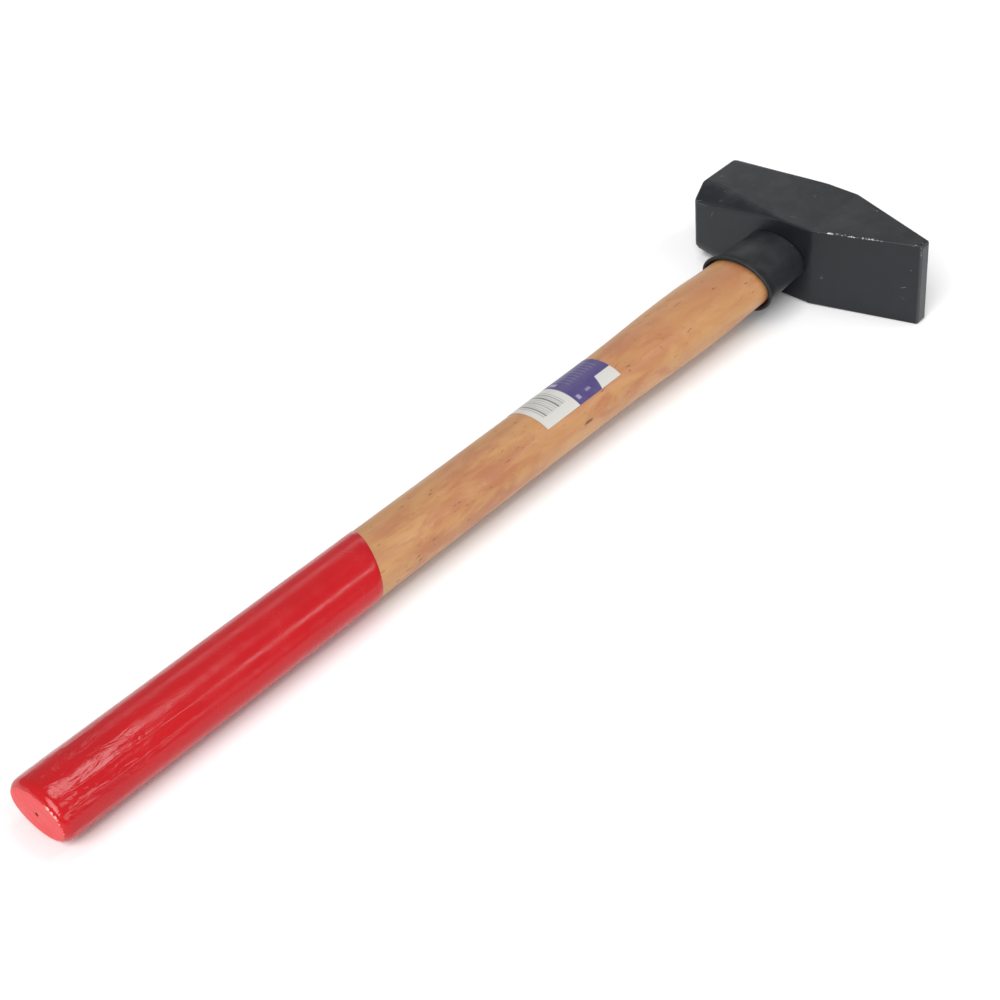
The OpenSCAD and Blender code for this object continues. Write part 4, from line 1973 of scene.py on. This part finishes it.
def white_field_bars() -> tuple[Bar, ...]:
    """Lays out the grey bars on the label's white field.

    Returns:
        The bars.
    """
    rows = ((0.065, 0.012, 0.5), (0.092, 0.018, 0.95), (0.122, 0.010, 0.5), (0.146, 0.012, 0.45),
            (0.176, 0.016, 0.6), (0.206, 0.010, 0.45), (0.232, 0.012, 0.5), (0.262, 0.020, 1.0),
            (0.294, 0.010, 0.5), (0.318, 0.014, 0.7), (0.348, 0.010, 0.5))
    return tuple(Bar(at, at + wide, 0.16, 0.84, ink) for at, wide, ink in rows)


def violet_field_bars() -> tuple[Bar, ...]:
    """Lays out the faint bars and the small pale blocks on the label's violet field.

    Returns:
        The bars and blocks.
    """
    faint = tuple(Bar(0.56 + 0.045 * i, 0.572 + 0.045 * i, 0.12, 0.66, 0.22) for i in range(9))
    blocks = (Bar(0.475, 0.52, 0.40, 0.52, 0.75), Bar(0.475, 0.515, 0.86, 0.93, 0.6),
              Bar(0.60, 0.66, 0.86, 0.90, 0.4))
    return faint + blocks


class Layout:
    """Where the pieces go, measured from the boxes of the CAD nodes, and the finish of each."""

    def __init__(self) -> None:
        """Measures the CAD nodes."""
        self.head_low, self.head_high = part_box("head")
        self.collar_low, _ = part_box("collar")
        self.handle_low, self.handle_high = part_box("handle")
        self.coat_low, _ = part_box("grip_coat")
        self.label_low, self.label_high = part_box("label")
        self.axis_z = (self.head_low.z + self.head_high.z) / 2

    def handle_shape(self) -> HandleShape:
        """Lays out the handle's outside.

        Returns:
            The shape.
        """
        return HandleShape(
            stations=(
                Station(self.handle_low.x, 26.7 * MM, 19.8 * MM),
                Station(-252 * MM, 25.1 * MM, 18.8 * MM),
                Station(-132 * MM, 27.6 * MM, 20.7 * MM),
                Station(self.collar_low.x, 27.8 * MM, 16.8 * MM),
                Station(self.head_low.x - 0.3 * MM, 24.8 * MM, 16.4 * MM),
            ),
            axis_z=self.axis_z,
        )

    def head_lacquer(self) -> BlackPaint:
        """Mixes the head's lacquer, rubbed at one shoulder and at one corner of the pein, with a painted
        highlight on the pein's tip.

        Returns:
            The lacquer.
        """
        near_shoulder = (self.head_low.x + 9 * MM, -60 * MM, self.axis_z + 34 * MM)
        pein_corner = (-6 * MM, self.head_low.y + 2 * MM, self.head_high.z)
        return BlackPaint(
            "head_lacquer", deep=(0.006, 0.0075, 0.010), pale=(0.011, 0.0125, 0.016), smooth=0.32,
            rough=0.42, specular=0.38, wear_reach=0.06, scuff_amount=0.5, dust_amount=0.05,
            spots=(Spot(near_shoulder, 36 * MM, 0.30), Spot(pein_corner, 10 * MM, 0.22)),
            # The pein's tip is painted paler from here as a highlight.
            tip_y=self.head_low.y,
        )

    def collar_paint(self) -> BlackPaint:
        """Mixes the collar's paint, rubbed where it meets the head.

        Returns:
            The paint.
        """
        by_head = (self.head_low.x, -22 * MM, self.axis_z - 12 * MM)
        return BlackPaint(
            "collar_paint", deep=(0.008, 0.0095, 0.012), pale=(0.014, 0.016, 0.019), smooth=0.42,
            rough=0.55, specular=0.35, wear_reach=0.03, scuff_amount=0.2, dust_amount=0.05,
            spots=(Spot(by_head, 10 * MM, 0.4),),
        )

    def handle_wood(self) -> Wood:
        """Picks the handle's wood, redder in a few places.

        Returns:
            The wood.
        """
        redder = (
            (-385, -14, 16, 62, 1.0), (-350, -20, 12, 40, 0.8), (-455, -22, 9, 52, 0.9),
            (-205, -24, 7, 60, 0.9), (-150, -25, 5, 40, 0.7), (-112, -16, 14, 26, 0.6),
        )
        return Wood(
            "handle_wood", light=(0.50, 0.265, 0.108), dark=(0.45, 0.22, 0.083),
            blotch=(0.39, 0.150, 0.066), pore=(0.10, 0.045, 0.02), blotches=0.95, pores=0.8,
            smooth=0.42, rough=0.55, lacquer=0.22, relief=0.0001,
            streak=(-284 * MM, -24.5 * MM, self.axis_z + 5.6 * MM),
            # Centre of the painted shade in the butt's centre hole.
            bore=(self.handle_low.x + 7 * MM, 0.0, self.axis_z),
            patches=tuple(Spot((x * MM, y * MM, self.axis_z + z * MM), reach * MM, gain)
                          for x, y, z, reach, gain in redder),
        )

    def wedge_wood(self) -> Wood:
        """Picks the bare and darker wood of the wooden wedge.

        Returns:
            The wood.
        """
        return Wood(
            "wedge_wood", light=(0.40, 0.24, 0.12), dark=(0.30, 0.16, 0.08),
            blotch=(0.26, 0.12, 0.06), pore=(0.08, 0.04, 0.02), blotches=0.5, pores=1.0,
            smooth=0.6, rough=0.75, lacquer=0.0, relief=0.0002,
        )

    def grip_dip(self) -> DipCoat:
        """Mixes the grip's red dip, most chipped at one side of the rim.

        Returns:
            The dip.
        """
        return DipCoat(
            "grip_dip", red=(0.52, 0.008, 0.012), deep=(0.42, 0.005, 0.009),
            end_face=(0.67, 0.050, 0.055), chip=(0.85, 0.42, 0.36), butt_x=self.coat_low.x,
            rim_point=(self.coat_low.x, -16 * MM, self.axis_z + 8 * MM),
        )

    def label_paper(self) -> LabelPaper:
        """Prints the label.

        Returns:
            The paper.
        """
        return LabelPaper(
            "label_paper", paper=(0.56, 0.55, 0.52), violet=(0.050, 0.032, 0.155),
            grey=(0.13, 0.13, 0.13), pale_ink=(0.42, 0.40, 0.55), split=0.437,
            white_bars=white_field_bars(), violet_bars=violet_field_bars(),
        )

    def wedge_steel(self) -> HammeredSteel:
        """Returns the steel of the two steel wedges."""
        return HammeredSteel("wedge_steel", bright=(0.52, 0.52, 0.53), dull=(0.30, 0.30, 0.31))

    def rest_points(self) -> tuple[Vector, Vector, Vector]:
        """Finds what the hammer lies on.

        Returns:
            Points on the striking face's edge, the pein's tip and the butt.
        """
        return (Vector((self.head_low.x + 12 * MM, self.head_high.y, 0.0)),
                Vector((-4.75 * MM, self.head_low.y, self.head_low.z)),
                Vector((self.handle_low.x + 5.5 * MM, 0.0, self.coat_low.z)))


def main() -> None:
    """Builds the hammer and its studio around the frame."""
    logging.basicConfig(level=logging.INFO, format="%(name)s %(message)s")
    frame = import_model()
    cad_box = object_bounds()
    LOG.info("frame: %d CAD nodes", len(frame["nodes"]))

    layout = Layout()
    shape = layout.handle_shape()
    eye = EyeShape(half_depth=layout.head_high.x, axis_z=layout.axis_z)
    wedges = WedgeSet(eye=eye, end_x=layout.handle_high.x)
    head = Head(layout.head_low, layout.head_high, eye)
    collar = GuardCollar(shape, layout.collar_low.x, layout.head_low.x)
    label = PaperLabel(shape, layout.label_low.x, layout.label_high.x)
    pieces = [
        head.build(layout.head_lacquer()),
        collar.build(layout.collar_paint()),
        Handle(shape, wedges).build(layout.handle_wood()),
        *wedges.build(layout.wedge_wood(), layout.wedge_steel()),
        GripCoat(shape, runs=paint_runs()).build(layout.grip_dip()),
        label.build(layout.label_paper()),
    ]
    for piece in pieces:
        LOG.info("%s: %d faces", piece.name, len(piece.data.polygons))

    studio = Studio(
        rest_points=layout.rest_points(),
        aim=(cad_box[0] + cad_box[1]) / 2,
        softboxes=(
            Softbox("key", -45, 52, 2.6, 1.8, 0.30, 4.8),
            Softbox("overhead", 34, 76, 2.5, 0.45, 0.6, 6.4),
            Softbox("front", 200, 30, 3.0, 1.8, 0.9, 1.3, LightRun.ACROSS_HANDLE),
            Softbox("side", -92, 20, 3.0, 2.4, 0.9, 2.6),
            Softbox("backdrop", 48, 30, 3.4, 2.4, 0.8, 1.0),
        ),
    )
    studio.build(FloorCard("floor_card", white=(0.95, 0.95, 0.95), shade=(0.93, 0.93, 0.933)))


if __name__ == "__main__":
    main()
